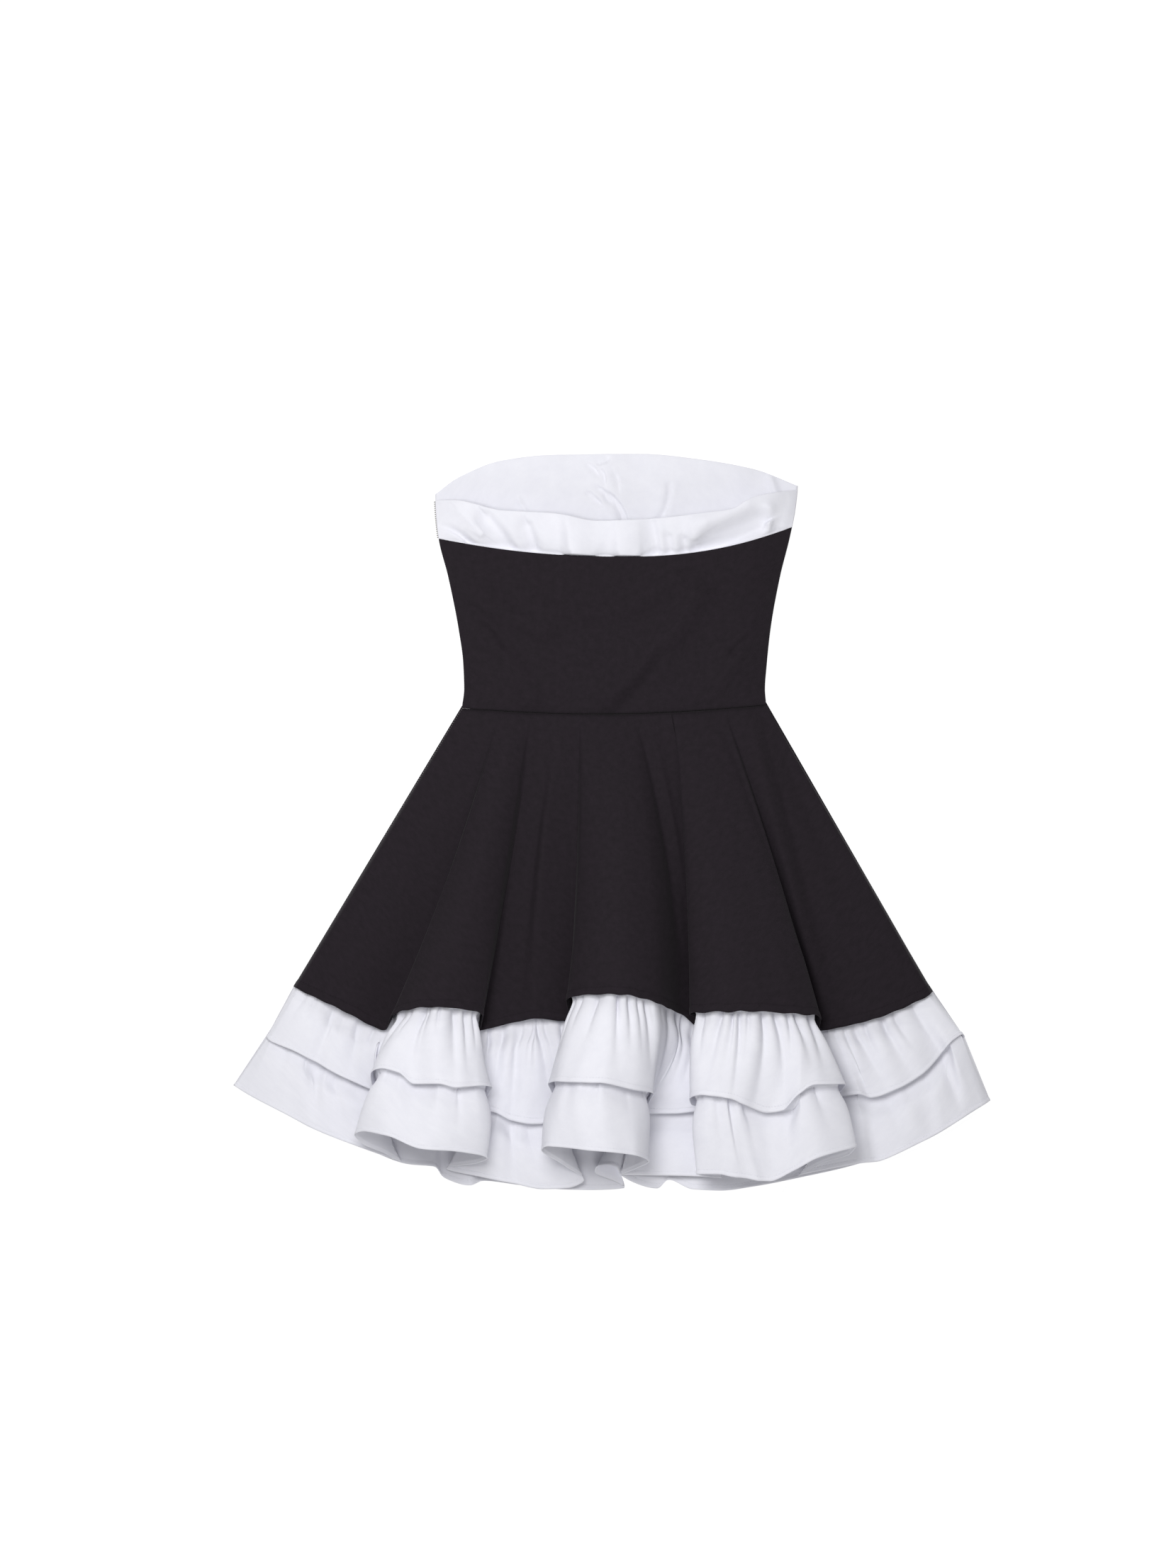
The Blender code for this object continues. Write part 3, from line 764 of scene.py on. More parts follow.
def unevenness(x, y, relief):
    """Return the gentle random relief of a cloth, up to about its height each way."""
    draw = np.random.default_rng(relief.seed)
    total = np.zeros(np.broadcast(x, y).shape)
    for _ in range(9):
        angle = draw.uniform(0, np.pi)
        wave = 2 * np.pi / (relief.wave * draw.uniform(0.7, 1.8))
        phase = draw.uniform(0, 2 * np.pi)
        total += np.sin(wave * (x * np.cos(angle) + y * np.sin(angle)) + phase)
    return relief.height * (total / 5)


def normals(grid):
    """Return the unit normal at each point of a grid, on the side away from the floor."""
    down = np.gradient(grid, axis=0)
    across = np.gradient(grid, axis=1)
    normal = np.cross(down, across)
    return normal / np.linalg.norm(normal, axis=2, keepdims=True)


def moved_in(grid, depth):
    """Return a grid moved in from its upper face, straight down at its two sides."""
    normal = normals(grid)
    normal[:, [0, -1]] = (0, 0, 1)
    return grid - normal * depth


def turned_hem(from_edge, turn):
    """Return how far a turned hem stands out: a double edge with a stitched groove above it."""
    step = TURN_RISE / (1 + np.exp((from_edge - turn) / TURN_SOFTNESS))
    groove = TURN_GROOVE * np.exp(-(((from_edge - turn) / GROOVE_REACH) ** 2))
    return step - groove


def falls_to_hem(rows, length, turn):
    """Return shares of a fall from 0 to 1, closer together where the hem is turned."""
    near = np.array(TURN_ROWS) * turn
    even = np.linspace(0, 1 - (near[0] + ROW_GAP) / length, rows)
    return np.concatenate([even, 1 - near / length])


def side_place(column, lower, upper, t):
    """Return where a side seam lies, t of the way from a piece's lower edge to its upper one."""
    x = SIDES[0][column]
    for _ in range(4):
        y = lower(x) * (1 - t) + upper(x) * t
        x = side_x(y, column)
    return x


def panel(name, lower, upper, gap, crowding=SIDE_CROWDING):
    """Return x, y and t grids of a panel between two edges, from the upper one down."""
    rows, columns = GRIDS[name]
    even = np.linspace(0, 1, columns + 1)
    across = even - crowding * np.sin(2 * np.pi * even)
    x = np.empty((rows + 1, columns + 1))
    y = np.empty_like(x)
    shares = np.linspace(1, 0, rows + 1)
    for index, t in enumerate(shares):
        left = side_place(1, lower, upper, t)
        right = side_place(2, lower, upper, t)
        x[index] = left + (right - left) * across
        y[index] = (lower(x[index]) + gap) * (1 - t) + upper(x[index]) * t
    return x, y, np.repeat(shares[:, None], columns + 1, axis=1)


def rise(x, left, right, top):
    """Return the height of the back over a row that rolls up from its two side edges."""
    share = (x - left) / (right - left)
    edge = LEFT_Z + (RIGHT_Z - LEFT_Z) * share
    inside = np.clip(np.minimum(x - left, right - x) / SIDE_ROLL, 0, 1)
    return edge + (top - edge) * (1 - (1 - inside) ** 2)


def flat_places(grid):
    """Return how far across and down the cloth each point lies, in metres."""
    across = np.linalg.norm(np.diff(grid, axis=1), axis=2)
    across = np.concatenate([np.zeros((len(grid), 1)), np.cumsum(across, axis=1)], axis=1)
    across -= across[:, across.shape[1] // 2:across.shape[1] // 2 + 1]
    down = np.linalg.norm(np.diff(grid, axis=0), axis=2)
    down = np.concatenate([np.zeros((1, grid.shape[1])), np.cumsum(down, axis=0)], axis=0)
    return np.stack([across, down], axis=2) * MM


def grid_faces(rows, columns):
    """Return the four corners of each face of a grid, with the outer side away from the floor."""
    index = np.arange(rows * columns).reshape(rows, columns)
    corners = [index[:-1, :-1], index[1:, :-1], index[1:, 1:], index[:-1, 1:]]
    return np.stack(corners, axis=2).reshape(-1, 4)


def linked(name, points, faces, material):
    """Make a smooth object from points in millimetres and put it in the scene."""
    if not np.isfinite(points).all():
        raise ValueError(f"{name} has a point that is no number")
    mesh = bpy.data.meshes.new(name)
    mesh.from_pydata((points * MM).tolist(), [], faces)
    mesh.materials.append(material)
    mesh.shade_smooth()
    piece = bpy.data.objects.new(name, mesh)
    bpy.context.scene.collection.objects.link(piece)
    return piece


def cloth(name, grid, wall, material):
    """Make a sheet of cloth from the points of its upper face: wall is its thickness."""
    faces = grid_faces(*grid.shape[:2])
    piece = linked(name, grid.reshape(-1, 3), faces.tolist(), material)
    layer = piece.data.uv_layers.new(name="thread")
    places = flat_places(grid).reshape(-1, 2)
    layer.data.foreach_set("uv", places[faces.ravel()].astype(np.float32).ravel())
    shell = piece.modifiers.new("wall", "SOLIDIFY")
    shell.thickness = wall * MM
    shell.offset = -1
    shell.use_rim = True
    return piece


def belongs(piece, node):
    """Put a piece in the place of its CAD node."""
    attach(piece, "root")
    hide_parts(node)


def make_stitches(name, line, up, material):
    """Make a row of stitches along a line on the cloth: each is a short thread bent over it."""
    run = lengths(line)
    rings, sides = 5, 6
    turn = np.linspace(0, np.pi, rings)
    around = np.linspace(0, 2 * np.pi, sides, endpoint=False)
    points, faces = [], []
    for start in np.arange(STITCH_PITCH, run[-1] - STITCH_PITCH, STITCH_PITCH):
        ends = start + STITCH_PITCH * HALF_STITCH * np.cos(turn)
        middle = np.stack([np.interp(ends, run, line[:, axis]) for axis in range(3)], axis=1)
        high = np.array([np.interp(start, run, up[:, axis]) for axis in range(3)])
        along = middle[0] - middle[-1]
        aside = np.cross(along / np.linalg.norm(along), high)
        first = len(points)
        for centre, angle in zip(middle, turn):
            radius = THREAD * max(np.sin(angle), 0.25) ** 0.5 / 2
            lift = high * THREAD * (0.7 * np.sin(angle) - 0.2)
            for side in around:
                points.append(centre + lift + radius * (np.cos(side) * aside + np.sin(side) * high))
        index = first + np.arange(rings * sides).reshape(rings, sides)
        after = np.roll(index, -1, axis=1)
        rims = np.stack([index[:-1], after[:-1], after[1:], index[1:]], axis=2).reshape(-1, 4)
        faces += rims.tolist() + [index[0, ::-1].tolist(), index[-1].tolist()]
    piece = linked(name, np.array(points), faces, material)
    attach(piece, "root")


def stitch_hem(name, grid, material):
    """Sew a turned hem with a row of stitches along the top of its turn."""
    row = -1 - STITCHED_ROW
    make_stitches(name, grid[row], normals(grid)[row], material)


def add_node(tree, kind, inputs=None, links=None, **settings):
    """Add a shader node with its settings, the values of its inputs and the sockets that feed it."""
    node = tree.nodes.new(kind)
    for key, value in settings.items():
        setattr(node, key, value)
    for key, value in (inputs or {}).items():
        node.inputs[key].default_value = value
    for key, source in (links or {}).items():
        tree.links.new(source, node.inputs[key])
    return node


def new_material(name, **inputs):
    """Return a new material, its node tree and its surface shader, set to these inputs."""
    material = bpy.data.materials.new(name)
    material.use_nodes = True
    shader = material.node_tree.nodes["Principled BSDF"]
    for key, value in inputs.items():
        shader.inputs[key.replace("_", " ")].default_value = value
    return material, material.node_tree, shader


def two_tones(tree, factor, dark, light):
    """Return the colour that a pattern mixes from two."""
    tone = add_node(tree, "ShaderNodeMix", links={"Factor": factor}, data_type="RGBA")
    tone.inputs["A"].default_value = [*dark, 1]
    tone.inputs["B"].default_value = [*light, 1]
    return tone.outputs["Result"]


def woven(name, dark, light, thread, relief, mottle, **inputs):
    """Return a woven cloth: thread is the spacing drawn and mottle the size of its cloudiness."""
    material, tree, shader = new_material(name, **inputs)
    place = add_node(tree, "ShaderNodeTexCoord").outputs["UV"]
    waves = {}
    for socket, direction in enumerate("XY"):
        scales = {"Scale": WAVE_GAP / (thread * MM), "Distortion": 1.2, "Detail": 1.0}
        wave = add_node(
            tree, "ShaderNodeTexWave", scales, {"Vector": place}, bands_direction=direction
        )
        waves[socket] = wave.outputs["Fac"]
    weave = add_node(tree, "ShaderNodeMath", links=waves, operation="MAXIMUM").outputs[0]
    noises = []
    for grain, detail, roughness in ((2.2 * thread, 3.0, 0.6), (mottle, 5.0, 0.7)):
        scales = {"Scale": 1 / (grain * MM), "Detail": detail, "Roughness": roughness}
        noise = add_node(tree, "ShaderNodeTexNoise", scales, {"Vector": place})
        noises.append(noise.outputs["Fac"])
    height = add_node(
        tree, "ShaderNodeMath", {2: 0.5}, {0: noises[0], 1: weave}, operation="MULTIPLY_ADD"
    ).outputs[0]
    depths = {"Strength": 0.5, "Distance": relief * MM}
    bump = add_node(tree, "ShaderNodeBump", depths, {"Height": height})
    tree.links.new(two_tones(tree, noises[1], dark, light), shader.inputs["Base Color"])
    tree.links.new(bump.outputs["Normal"], shader.inputs["Normal"])
    return material


def crepe(colours):
    """Stretch crepe, woven from tightly twisted yarn: a matte black with a fine pebbled grain."""
    # Real crepe has about 0.4 mm between threads: 0.9 mm is as fine as the picture can show
    return woven(
        "stretch crepe, woven", colours.crepe_dark, colours.crepe_light,
        thread=0.9, relief=0.22, mottle=7,
        Roughness=0.85, IOR=1.5, Specular_IOR_Level=0.18, Sheen_Weight=0.03, Sheen_Roughness=0.5,
    )


def poplin(colours):
    """Cotton poplin, woven close and plain: a clean matte white with a faint thread."""
    # Real poplin has about 0.2 mm between threads: 0.7 mm is as fine as the picture can show
    return woven(
        "cotton poplin, woven", colours.poplin_dark, colours.poplin_light,
        thread=0.7, relief=0.1, mottle=16,
        Roughness=0.8, IOR=1.5, Specular_IOR_Level=0.25, Sheen_Weight=0.05, Sheen_Roughness=0.5,
    )


def tape(colours):
    """Polyester zip tape, woven as a narrow ribbon: a plain white with a visible rib."""
    return woven(
        "polyester zip tape, woven", colours.tape_dark, colours.tape_light,
        thread=0.8, relief=0.2, mottle=6, Roughness=0.7, IOR=1.5,
    )


def speckled(name, dark, light, speck, **inputs):
    """Return a plain surface with a faint speckle, speck millimetres across."""
    material, tree, shader = new_material(name, **inputs)
    place = add_node(tree, "ShaderNodeTexCoord").outputs["Object"]
    scales = {"Scale": 1 / (speck * MM), "Detail": 2.0}
    cloud = add_node(tree, "ShaderNodeTexNoise", scales, {"Vector": place}).outputs["Fac"]
    tree.links.new(two_tones(tree, cloud, dark, light), shader.inputs["Base Color"])
    return material


def teeth(colours):
    """Acetal zip teeth, moulded: a pale grey with a dull shine."""
    return speckled(
        "acetal, moulded", colours.teeth_dark, colours.teeth_light, 2.5,
        Roughness=0.35, IOR=1.48,
    )


def white_thread(colours):
    """Polyester sewing thread, spun and twisted: a white with a little more shine than the cloth."""
    return speckled(
        "white polyester thread, spun", colours.poplin_dark, colours.poplin_light, 1.0,
        Roughness=0.55, IOR=1.5,
    )


def black_thread(colours):
    """Polyester sewing thread, spun and twisted: a dull black that hardly shows on the cloth."""
    return speckled(
        "black polyester thread, spun", colours.crepe_dark, colours.crepe_light, 1.0,
        Roughness=0.85, IOR=1.5, Specular_IOR_Level=0.15,
    )


def background_paper(stage):
    """White background paper, rolled out and lit from behind too: matte, even and almost shadowless."""
    material, _, shader = new_material("white background paper, matt", Roughness=0.95, IOR=1.5)
    shader.inputs["Base Color"].default_value = [*stage.paper, 1]
    shader.inputs["Specular IOR Level"].default_value = 0.0
    shader.inputs["Emission Color"].default_value = (1, 1, 1, 1)
    shader.inputs["Emission Strength"].default_value = stage.paper_glow
    return material


def finish(make):
    """Return the finish that a function makes from the dress's colours, made only once."""
    key = f"dress {make.__name__}"
    for material in bpy.data.materials:
        if material.get("made_by") == key:
            return material
    material = make(bpy.context.scene.dress_colours)
    material["made_by"] = key
    return material


def make_crepe(node, grid, wall=None):
    """Make a piece of the black crepe in the place of its CAD node."""
    piece = cloth(f"{node}_cloth", grid, wall or size("crepe_wall"), finish(crepe))
    belongs(piece, node)


def make_poplin(node, grid):
    """Make a piece of the white poplin in the place of its CAD node."""
    piece = cloth(f"{node}_cloth", grid, size("poplin_wall"), finish(poplin))
    belongs(piece, node)


def make_ruffle(node, plain):
    """Make a white ruffle from its upper face: its hem is turned and stitched."""
    ruffle = with_turned_hem(plain, RUFFLE_TURN)
    make_poplin(node, ruffle)
    stitch_hem(f"{node}_stitches", ruffle, finish(white_thread))


def bodice_height(x, y, t):
    """Return the height of the slack back bodice: it sinks to the waist and to the band seam."""
    waist, middle, top = size("waist_height"), size("bodice_height"), size("band_height")
    hill = waist + (top - waist) * t + (middle - top) * 4 * t * (1 - t)
    from_band = band_seam_y(x) - y
    from_waist = y - waist_y(x)
    folds = crease_height(x, y, BODICE_CREASES) + unevenness(x, y, RELIEFS["back bodice"])
    folds *= np.clip(np.minimum(from_band, from_waist) / SEAM_FADE, 0, 1)
    roll = BODICE_ROLL * np.exp(-((from_band / ROLL_REACH) ** 2))
    return hill + folds + roll - WAIST_PINCH * np.exp(-from_waist / PINCH_REACH)


def band_height(x, y, t):
    """Return the height of the puffed back band: its folds are deepest at its seam."""
    hill = size("band_height") + size("band_puff") * np.sin(np.pi * PUFF_SHARE * t)
    edge = y - band_seam_y(x)
    folds = (FOLDS_END - t) * crease_height(x, y, BAND_CREASES) + unevenness(x, y, RELIEFS["back band"])
    sink = np.clip(BAND_SINK * np.exp(-edge / SINK_REACH) - folds, 0, None)
    folds = np.clip(folds, 0, None) - DEEPEST_BAND * (1 - np.exp(-sink / DEEPEST_BAND))
    return hill + folds * np.clip(edge / BAND_FADE, 0, 1)


def make_back_bodice():
    """Make the black back bodice."""
    x, y, t = panel("back bodice", waist_y, band_seam_y, 0)
    z = rise(x, x[:, :1], x[:, -1:], bodice_height(x, y, t))
    make_crepe("bodice_back", np.stack([x, y, z], axis=2))


def make_front_bodice():
    """Make the black front bodice, flat on the floor."""
    x, y, _ = panel("front bodice", waist_y, band_seam_y, FRONT_WAIST + SEAM)
    z = FRONT_BODICE_Z + unevenness(x, y, RELIEFS["front bodice"])
    make_crepe("bodice_front", np.stack([x, y, z], axis=2), FRONT_BODICE_WALL)


def folded_over(layer, drop):
    """Return a band's outer layer with its inner one: the cloth turns over at the top edge."""
    inner = moved_in(layer, drop)
    middle = (layer[0] + inner[0]) / 2
    half = (layer[0] - inner[0]) / 2
    out = np.array([0, 1, 0]) * drop / 2
    angles = np.linspace(np.pi, 0, TURN_STEPS + 1)[1:-1]
    rim = [middle + half * np.cos(angle) + out * np.sin(angle) for angle in angles]
    return np.concatenate([inner[::-1], np.array(rim), layer])


def make_back_band():
    """Make the white gathered band along the top of the back, folded over its top edge."""
    x, y, t = panel("back band", band_seam_y, back_top_y, SEAM)
    z = rise(x, x[:, :1], x[:, -1:], band_height(x, y, t))
    make_poplin("bust_band_back", folded_over(np.stack([x, y, z], axis=2), BACK_BAND_DROP))


def make_front_band():
    """Make the white front band with its ruched middle, folded over its top edge."""
    x, y, _ = panel("front band", band_seam_y, front_top_y, SEAM, FRONT_BAND_CROWDING)
    edge = np.minimum(y - band_seam_y(x), np.minimum(x - x[:, :1], x[:, -1:] - x))
    relief = RELIEFS["front band"]
    folds = crease_height(x, y, FRONT_BAND_CREASES) + relief.height + unevenness(x, y, relief)
    z = FRONT_BAND_Z + np.clip(folds, 0, None) * np.clip(edge / SEAM_FADE, 0, 1)
    make_poplin("bust_band_front", folded_over(np.stack([x, y, z], axis=2), FRONT_BAND_DROP))


def through(v, start, middle, end):
    """Return a value that passes start, middle and end at v = 0, 0.5 and 1."""
    return start * (1 - v) * (1 - 2 * v) + middle * 4 * v * (1 - v) + end * v * (2 * v - 1)


def hem_knots():
    """Return how far along the skirt's hem each fold line lies."""
    return lengths(np.array(SKIRT_FOLDS, float)[:, [2, 3, 5]])


def distance(place):
    """Return how far along the skirt's hem a place between fold lines lies."""
    return np.interp(place, np.arange(len(SKIRT_FOLDS)), hem_knots())


def crowded(gathers, columns):
    """Return distances along the hem for a ruffle's columns, closer together at its gathers."""
    fine = np.linspace(0, hem_knots()[-1], FINE_STEPS)
    density = np.ones_like(fine)
    for gather in gathers:
        off = (fine - distance(gather.place)) / (1.2 * gather.width)
        density += GATHER_CROWDING * np.exp(-(off**2))
    run = np.concatenate([[0], np.cumsum((density[1:] + density[:-1]) / 2)])
    return np.interp(np.linspace(0, run[-1], columns + 1), run, fine)


def soft_relief(falls, along):
    """Return the relief that soft ridges and hollows add to the back skirt."""
    v = np.asarray(falls)[:, None]
    relief = np.zeros((len(falls), len(along)))
    for soft in SKIRT_SOFTS:
        t = np.clip((v - soft.start) / (soft.end - soft.start), 0, 1)
        middle = distance(soft.place + soft.drift * v)
        shape = np.sin(np.pi * t) ** 0.7 if soft.end < 1 else np.sin(np.pi * t / 2)
        relief += soft.height * shape * np.exp(-(((along - middle) / soft.width) ** 2))
    return relief


def skirt_surface(falls, along):
    """Return the outer face of the back skirt: its flutes widen like cones from the waist."""
    waist_x, mid_x, hem_x, hem_y, mid_z, hem_z = np.array(SKIRT_FOLDS, float).T
    waist_z = rise(waist_x, waist_x[0], waist_x[-1], size("waist_height"))
    knots = hem_knots()
    rows = []
    for v in falls:
        x = through(v, waist_x, mid_x, hem_x)
        y = (waist_y(waist_x) - SEAM) * (1 - v) + hem_y * v
        z = through(v, waist_z, mid_z, hem_z)
        rows.append(curve(knots, np.stack([x, y, z], axis=1), along))
    grid = np.array(rows)
    return grid + normals(grid) * soft_relief(falls, along)[:, :, None]


def side_fade(along):
    """Return 0 at each side seam, rising to 1 further in."""
    return np.clip(np.minimum(along, along[-1] - along) / SIDE_FADE, 0, 1)


def small_gathers(total, seed):
    """Return the many short gathers between the main ones, as distance, depth, width and reach."""
    draw = np.random.default_rng(seed)
    rows = []
    place = 0.0
    while place < total:
        gap, depth, width, reach = [draw.uniform(*span) for span in SMALL_GATHERS]
        place += gap
        rows.append((place, depth, width, reach))
    return rows


def gather_sink(falls, along, gathers, seed):
    """Return how far a ruffle's gathers sink in at each point: creases that widen downwards."""
    w = np.asarray(falls)[:, None]
    roundness = 0.4 + 2.5 * w
    widening = 0.7 + 1.1 * w
    hem_fade = 1 - 0.7 * w**4
    sink = np.zeros((len(falls), len(along)))
    for gather in gathers:
        off = np.hypot(along - distance(gather.place + gather.drift * w), roundness)
        fade = np.clip(1 - w / (gather.reach + 0.3), 0, 1) * hem_fade
        sink += GATHER_GAIN * gather.depth * fade * np.exp(-off / (gather.width * widening))
    for middle, depth, width, reach in small_gathers(along[-1], seed):
        off = np.hypot(along - middle, 0.5)
        sink += depth * np.clip(1 - w / reach, 0, 1) * np.exp(-off / (width * (1 + 2 * w)))
    return DEEPEST_GATHER * (1 - np.exp(-sink / DEEPEST_GATHER))


def smoothed(row, reach):
    """Return a row of directions, each averaged with its neighbours on both sides."""
    weight = np.hanning(2 * reach + 3)[1:-1]
    padded = np.pad(row, ((reach, reach), (0, 0)), mode="edge")
    mixed = np.stack([np.convolve(padded[:, axis], weight, "valid") for axis in range(3)], axis=1)
    return mixed / np.linalg.norm(mixed, axis=1, keepdims=True)


def inside(strip, depth):
    """Return a strip of cloth moved in from its outer face, and its last row's direction down."""
    inner = moved_in(strip, depth)
    return inner, smoothed(inner[-1] - inner[-2], SMOOTH_COLUMNS)


def hem_line(hem, along):
    """Return the points of a ruffle's hem."""
    points = np.array(hem, float)
    return curve(distance(points[:, 0]), points[:, 1:], along)


def kept_off_front(grid, base):
    """Return a sunk grid whose points stay above the front's cloth, as far below base as can be."""
    room = np.maximum(base[:, :, 2] - LOWEST_BACK, 0.01)
    drop = np.maximum(base[:, :, 2] - grid[:, :, 2], 0)
    lifted = grid.copy()
    lifted[:, :, 2] += drop - room * (1 - np.exp(-drop / room))
    return lifted


def back_ruffle(strip, tier, along, falls):
    """Return the outer face of a back ruffle, from inside its parent down to its own hem."""
    inner, direction = inside(strip, tier.depth)
    start = inner[-1]
    end = hem_line(tier.hem, along)
    fade = side_fade(along)
    reach = np.linalg.norm(end - start, axis=1, keepdims=True)
    share = tier.lead * fade[:, None]
    lead = direction * reach * share + (end - start) * (1 - share)
    rows = list(inner)
    for w in falls:
        rows.append(start + lead * w + (end - start - lead) * w**2)
    base = np.array(rows)
    w = np.concatenate([np.zeros(len(inner)), falls])[:, None]
    down = w * reach.T
    tuck = size("tuck") * tier.tuck * np.exp(-((down / TUCK_REACH) ** 1.5))
    level = np.clip(normals(base)[:, :, 2], 0, 1) ** 2
    valley = np.clip((VALLEY_TOP - base[:, :, 2]) / VALLEY_FADE, 0, 1) * level
    puff = (PUFF + VALLEY_PUFF * valley) * (1 - np.exp(-((down / PUFF_REACH) ** 2))) * (1 - w**2)
    relief = Relief(1, RIPPLE_WAVE, tier.seed)
    ripple = (0.3 + 0.9 * w) * unevenness(along, down * RIPPLE_DOWN, relief)
    full = base + normals(base) * ((puff + ripple) * fade)[:, :, None]
    depth = bpy.context.scene.dress_sizes.gather_depth * (1 + VALLEY_GATHER * valley)
    sink = tuck + depth * gather_sink(w[:, 0], along, tier.gathers, tier.seed)
    sewn_on = np.concatenate([np.linspace(0, 1, len(inner)), np.ones(len(falls))])[:, None]
    return kept_off_front(full - normals(full) * (sink * fade * sewn_on)[:, :, None], full)


def with_turned_hem(grid, turn):
    """Return a grid whose last rows stand out as a turned hem."""
    steps = np.linalg.norm(np.diff(grid, axis=0), axis=2)
    from_edge = np.concatenate([np.cumsum(steps[::-1], axis=0)[::-1], np.zeros((1, grid.shape[1]))])
    return grid + normals(grid) * turned_hem(from_edge, turn)[:, :, None]


def make_back_skirt():
    """Make the black back skirt with its three flutes."""
    rows, columns = GRIDS["back skirt"]
    along = np.linspace(0, hem_knots()[-1], columns + 1)
    falls = falls_to_hem(rows, SKIRT_FALL, SKIRT_TURN)
    skirt = with_turned_hem(skirt_surface(falls, along), SKIRT_TURN)
    skirt[:, :, 2] -= WAIST_PINCH * np.exp(-falls[:, None] * PINCH_END)
    ripple = unevenness(along, 0 * along, RELIEFS["back skirt's hem"])
    skirt[:, :, 1] += ripple * falls[:, None] ** 12
    make_crepe("skirt_back", skirt)
    stitch_hem("skirt_back_stitches", skirt, finish(black_thread))


def make_back_ruffles():
    """Make the two white back ruffles, each sewn inside the hem above it."""
    rows, columns = GRIDS["back ruffle"]
    along = crowded(UPPER_GATHERS, columns)
    falls = falls_to_hem(rows, RUFFLE_FALL, RUFFLE_TURN)[1:]
    parent = skirt_surface(np.linspace(SKIRT_STRIP, 1, STRIP_ROWS), along)
    tiers = {
        "upper_ruffle_back": Tier(UPPER_HEM, UPPER_GATHERS, depth=2.2, tuck=1.0, lead=0.6, seed=11),
        "lower_ruffle_back": Tier(LOWER_HEM, LOWER_GATHERS, depth=1.8, tuck=1.3, lead=0.3, seed=12),
    }
    for name, tier in tiers.items():
        plain = back_ruffle(parent, tier, along, falls)
        make_ruffle(name, plain)
        parent = plain[-int((1 - RUFFLE_STRIP) * len(falls)):]


def front_line(hem, columns):
    """Return a front hem as a row of evenly spaced points."""
    points = np.array(hem, float)
    knots = lengths(points)
    fine = np.linspace(0, knots[-1], FINE_STEPS // 2)
    run = lengths(curve(knots, points, fine))
    return curve(knots, points, np.interp(np.linspace(0, run[-1], columns + 1), run, fine))


def front_puffs(columns):
    """Return the height of a front ruffle's puffs, uneven along the seam."""
    place = np.arange(columns)
    wave = np.abs(np.sin(np.pi * place / FRONT_PUFF_COLUMNS + 0.8 * np.sin(place / 17)))
    uneven = 0.7 + 0.3 * np.sin(place / 11.3) * np.sin(place / 37)
    return FRONT_PUFF * wave * uneven


def front_ruffle(start, hem, falls):
    """Return the upper face of a front ruffle: from inside the hem above, down to the floor."""
    rows = []
    for w in falls:
        row = start * (1 - w) + hem * w
        row[:, 2] = start[:, 2] * (1 - w) ** 3 + hem[:, 2] * w**1.5 + FRONT_RUFFLE_Z
        rows.append(row)
    base = np.array(rows)
    w = np.asarray(falls)[:, None]
    base[:, :, 2] += front_puffs(base.shape[1]) * (0.1 + 0.9 * (1 - w) ** 1.5)
    return base


def front_skirt():
    """Return the upper face of the black front skirt, flat on the floor."""
    rows, columns = GRIDS["front skirt"]
    x = np.linspace(SKIRT_FOLDS[0].waist_x, SKIRT_FOLDS[-1].waist_x, columns + 1)
    waist = np.stack([x, waist_y(x) + FRONT_WAIST, np.zeros_like(x)], axis=1)
    hem = front_line(FRONT_SKIRT_HEM, columns)
    fall = np.linspace(0, 1, rows + 1)[:, None, None]
    skirt = waist * (1 - fall) + hem * fall
    relief = unevenness(skirt[:, :, 0], skirt[:, :, 1], RELIEFS["front skirt"])
    skirt[:, :, 2] = FRONT_SKIRT_Z + relief
    return skirt


def make_front_skirt_and_ruffles():
    """Make the front skirt flat on the floor and its two ruffles, each inside the one above."""
    skirt = front_skirt()
    make_crepe("skirt_front", skirt)
    rows, columns = GRIDS["front ruffle"]
    falls = falls_to_hem(rows, RUFFLE_FALL, RUFFLE_TURN)
    start = skirt[-SKIRT_ROWS_UP] + (0, 0, UNDER_SKIRT)
    tiers = {"upper_ruffle_front": FRONT_UPPER_HEM, "lower_ruffle_front": FRONT_LOWER_HEM}
    for name, hem in tiers.items():
        plain = front_ruffle(start, front_line(hem, columns), falls)
        make_ruffle(name, plain)
        start = plain[-RUFFLE_ROWS_UP] + (0, 0, UNDER_RUFFLE)


def zip_edge(y):
    """Return where the left side edge lies at y, in the bodice or in the skirt."""
    seam = SKIRT_FOLDS[0]
    top = waist_y(seam.waist_x)
    fall = (top - y) / (top - seam.hem_y)
    return side_x(y, 1) if fall < 0 else seam.waist_x + (seam.hem_x - seam.waist_x) * fall


def make_zip_tape():
    """Make the zip's woven tape between the two left side edges."""
    rows, columns = GRIDS["zip tape"]
    steps = np.linspace(TAPE_INSET, ZIP_WIDTH, columns + 1)
    grid = []
    for y in np.linspace(ZIP_TOP_Y, ZIP_END_Y, rows + 1):
        grid.append([(zip_edge(y) + step, y, ZIP_LOW + TAPE_LIFT) for step in steps])
    piece = cloth("zip_tape", np.array(grid), TAPE_WALL, finish(tape))
    belongs(piece, "side_zip")


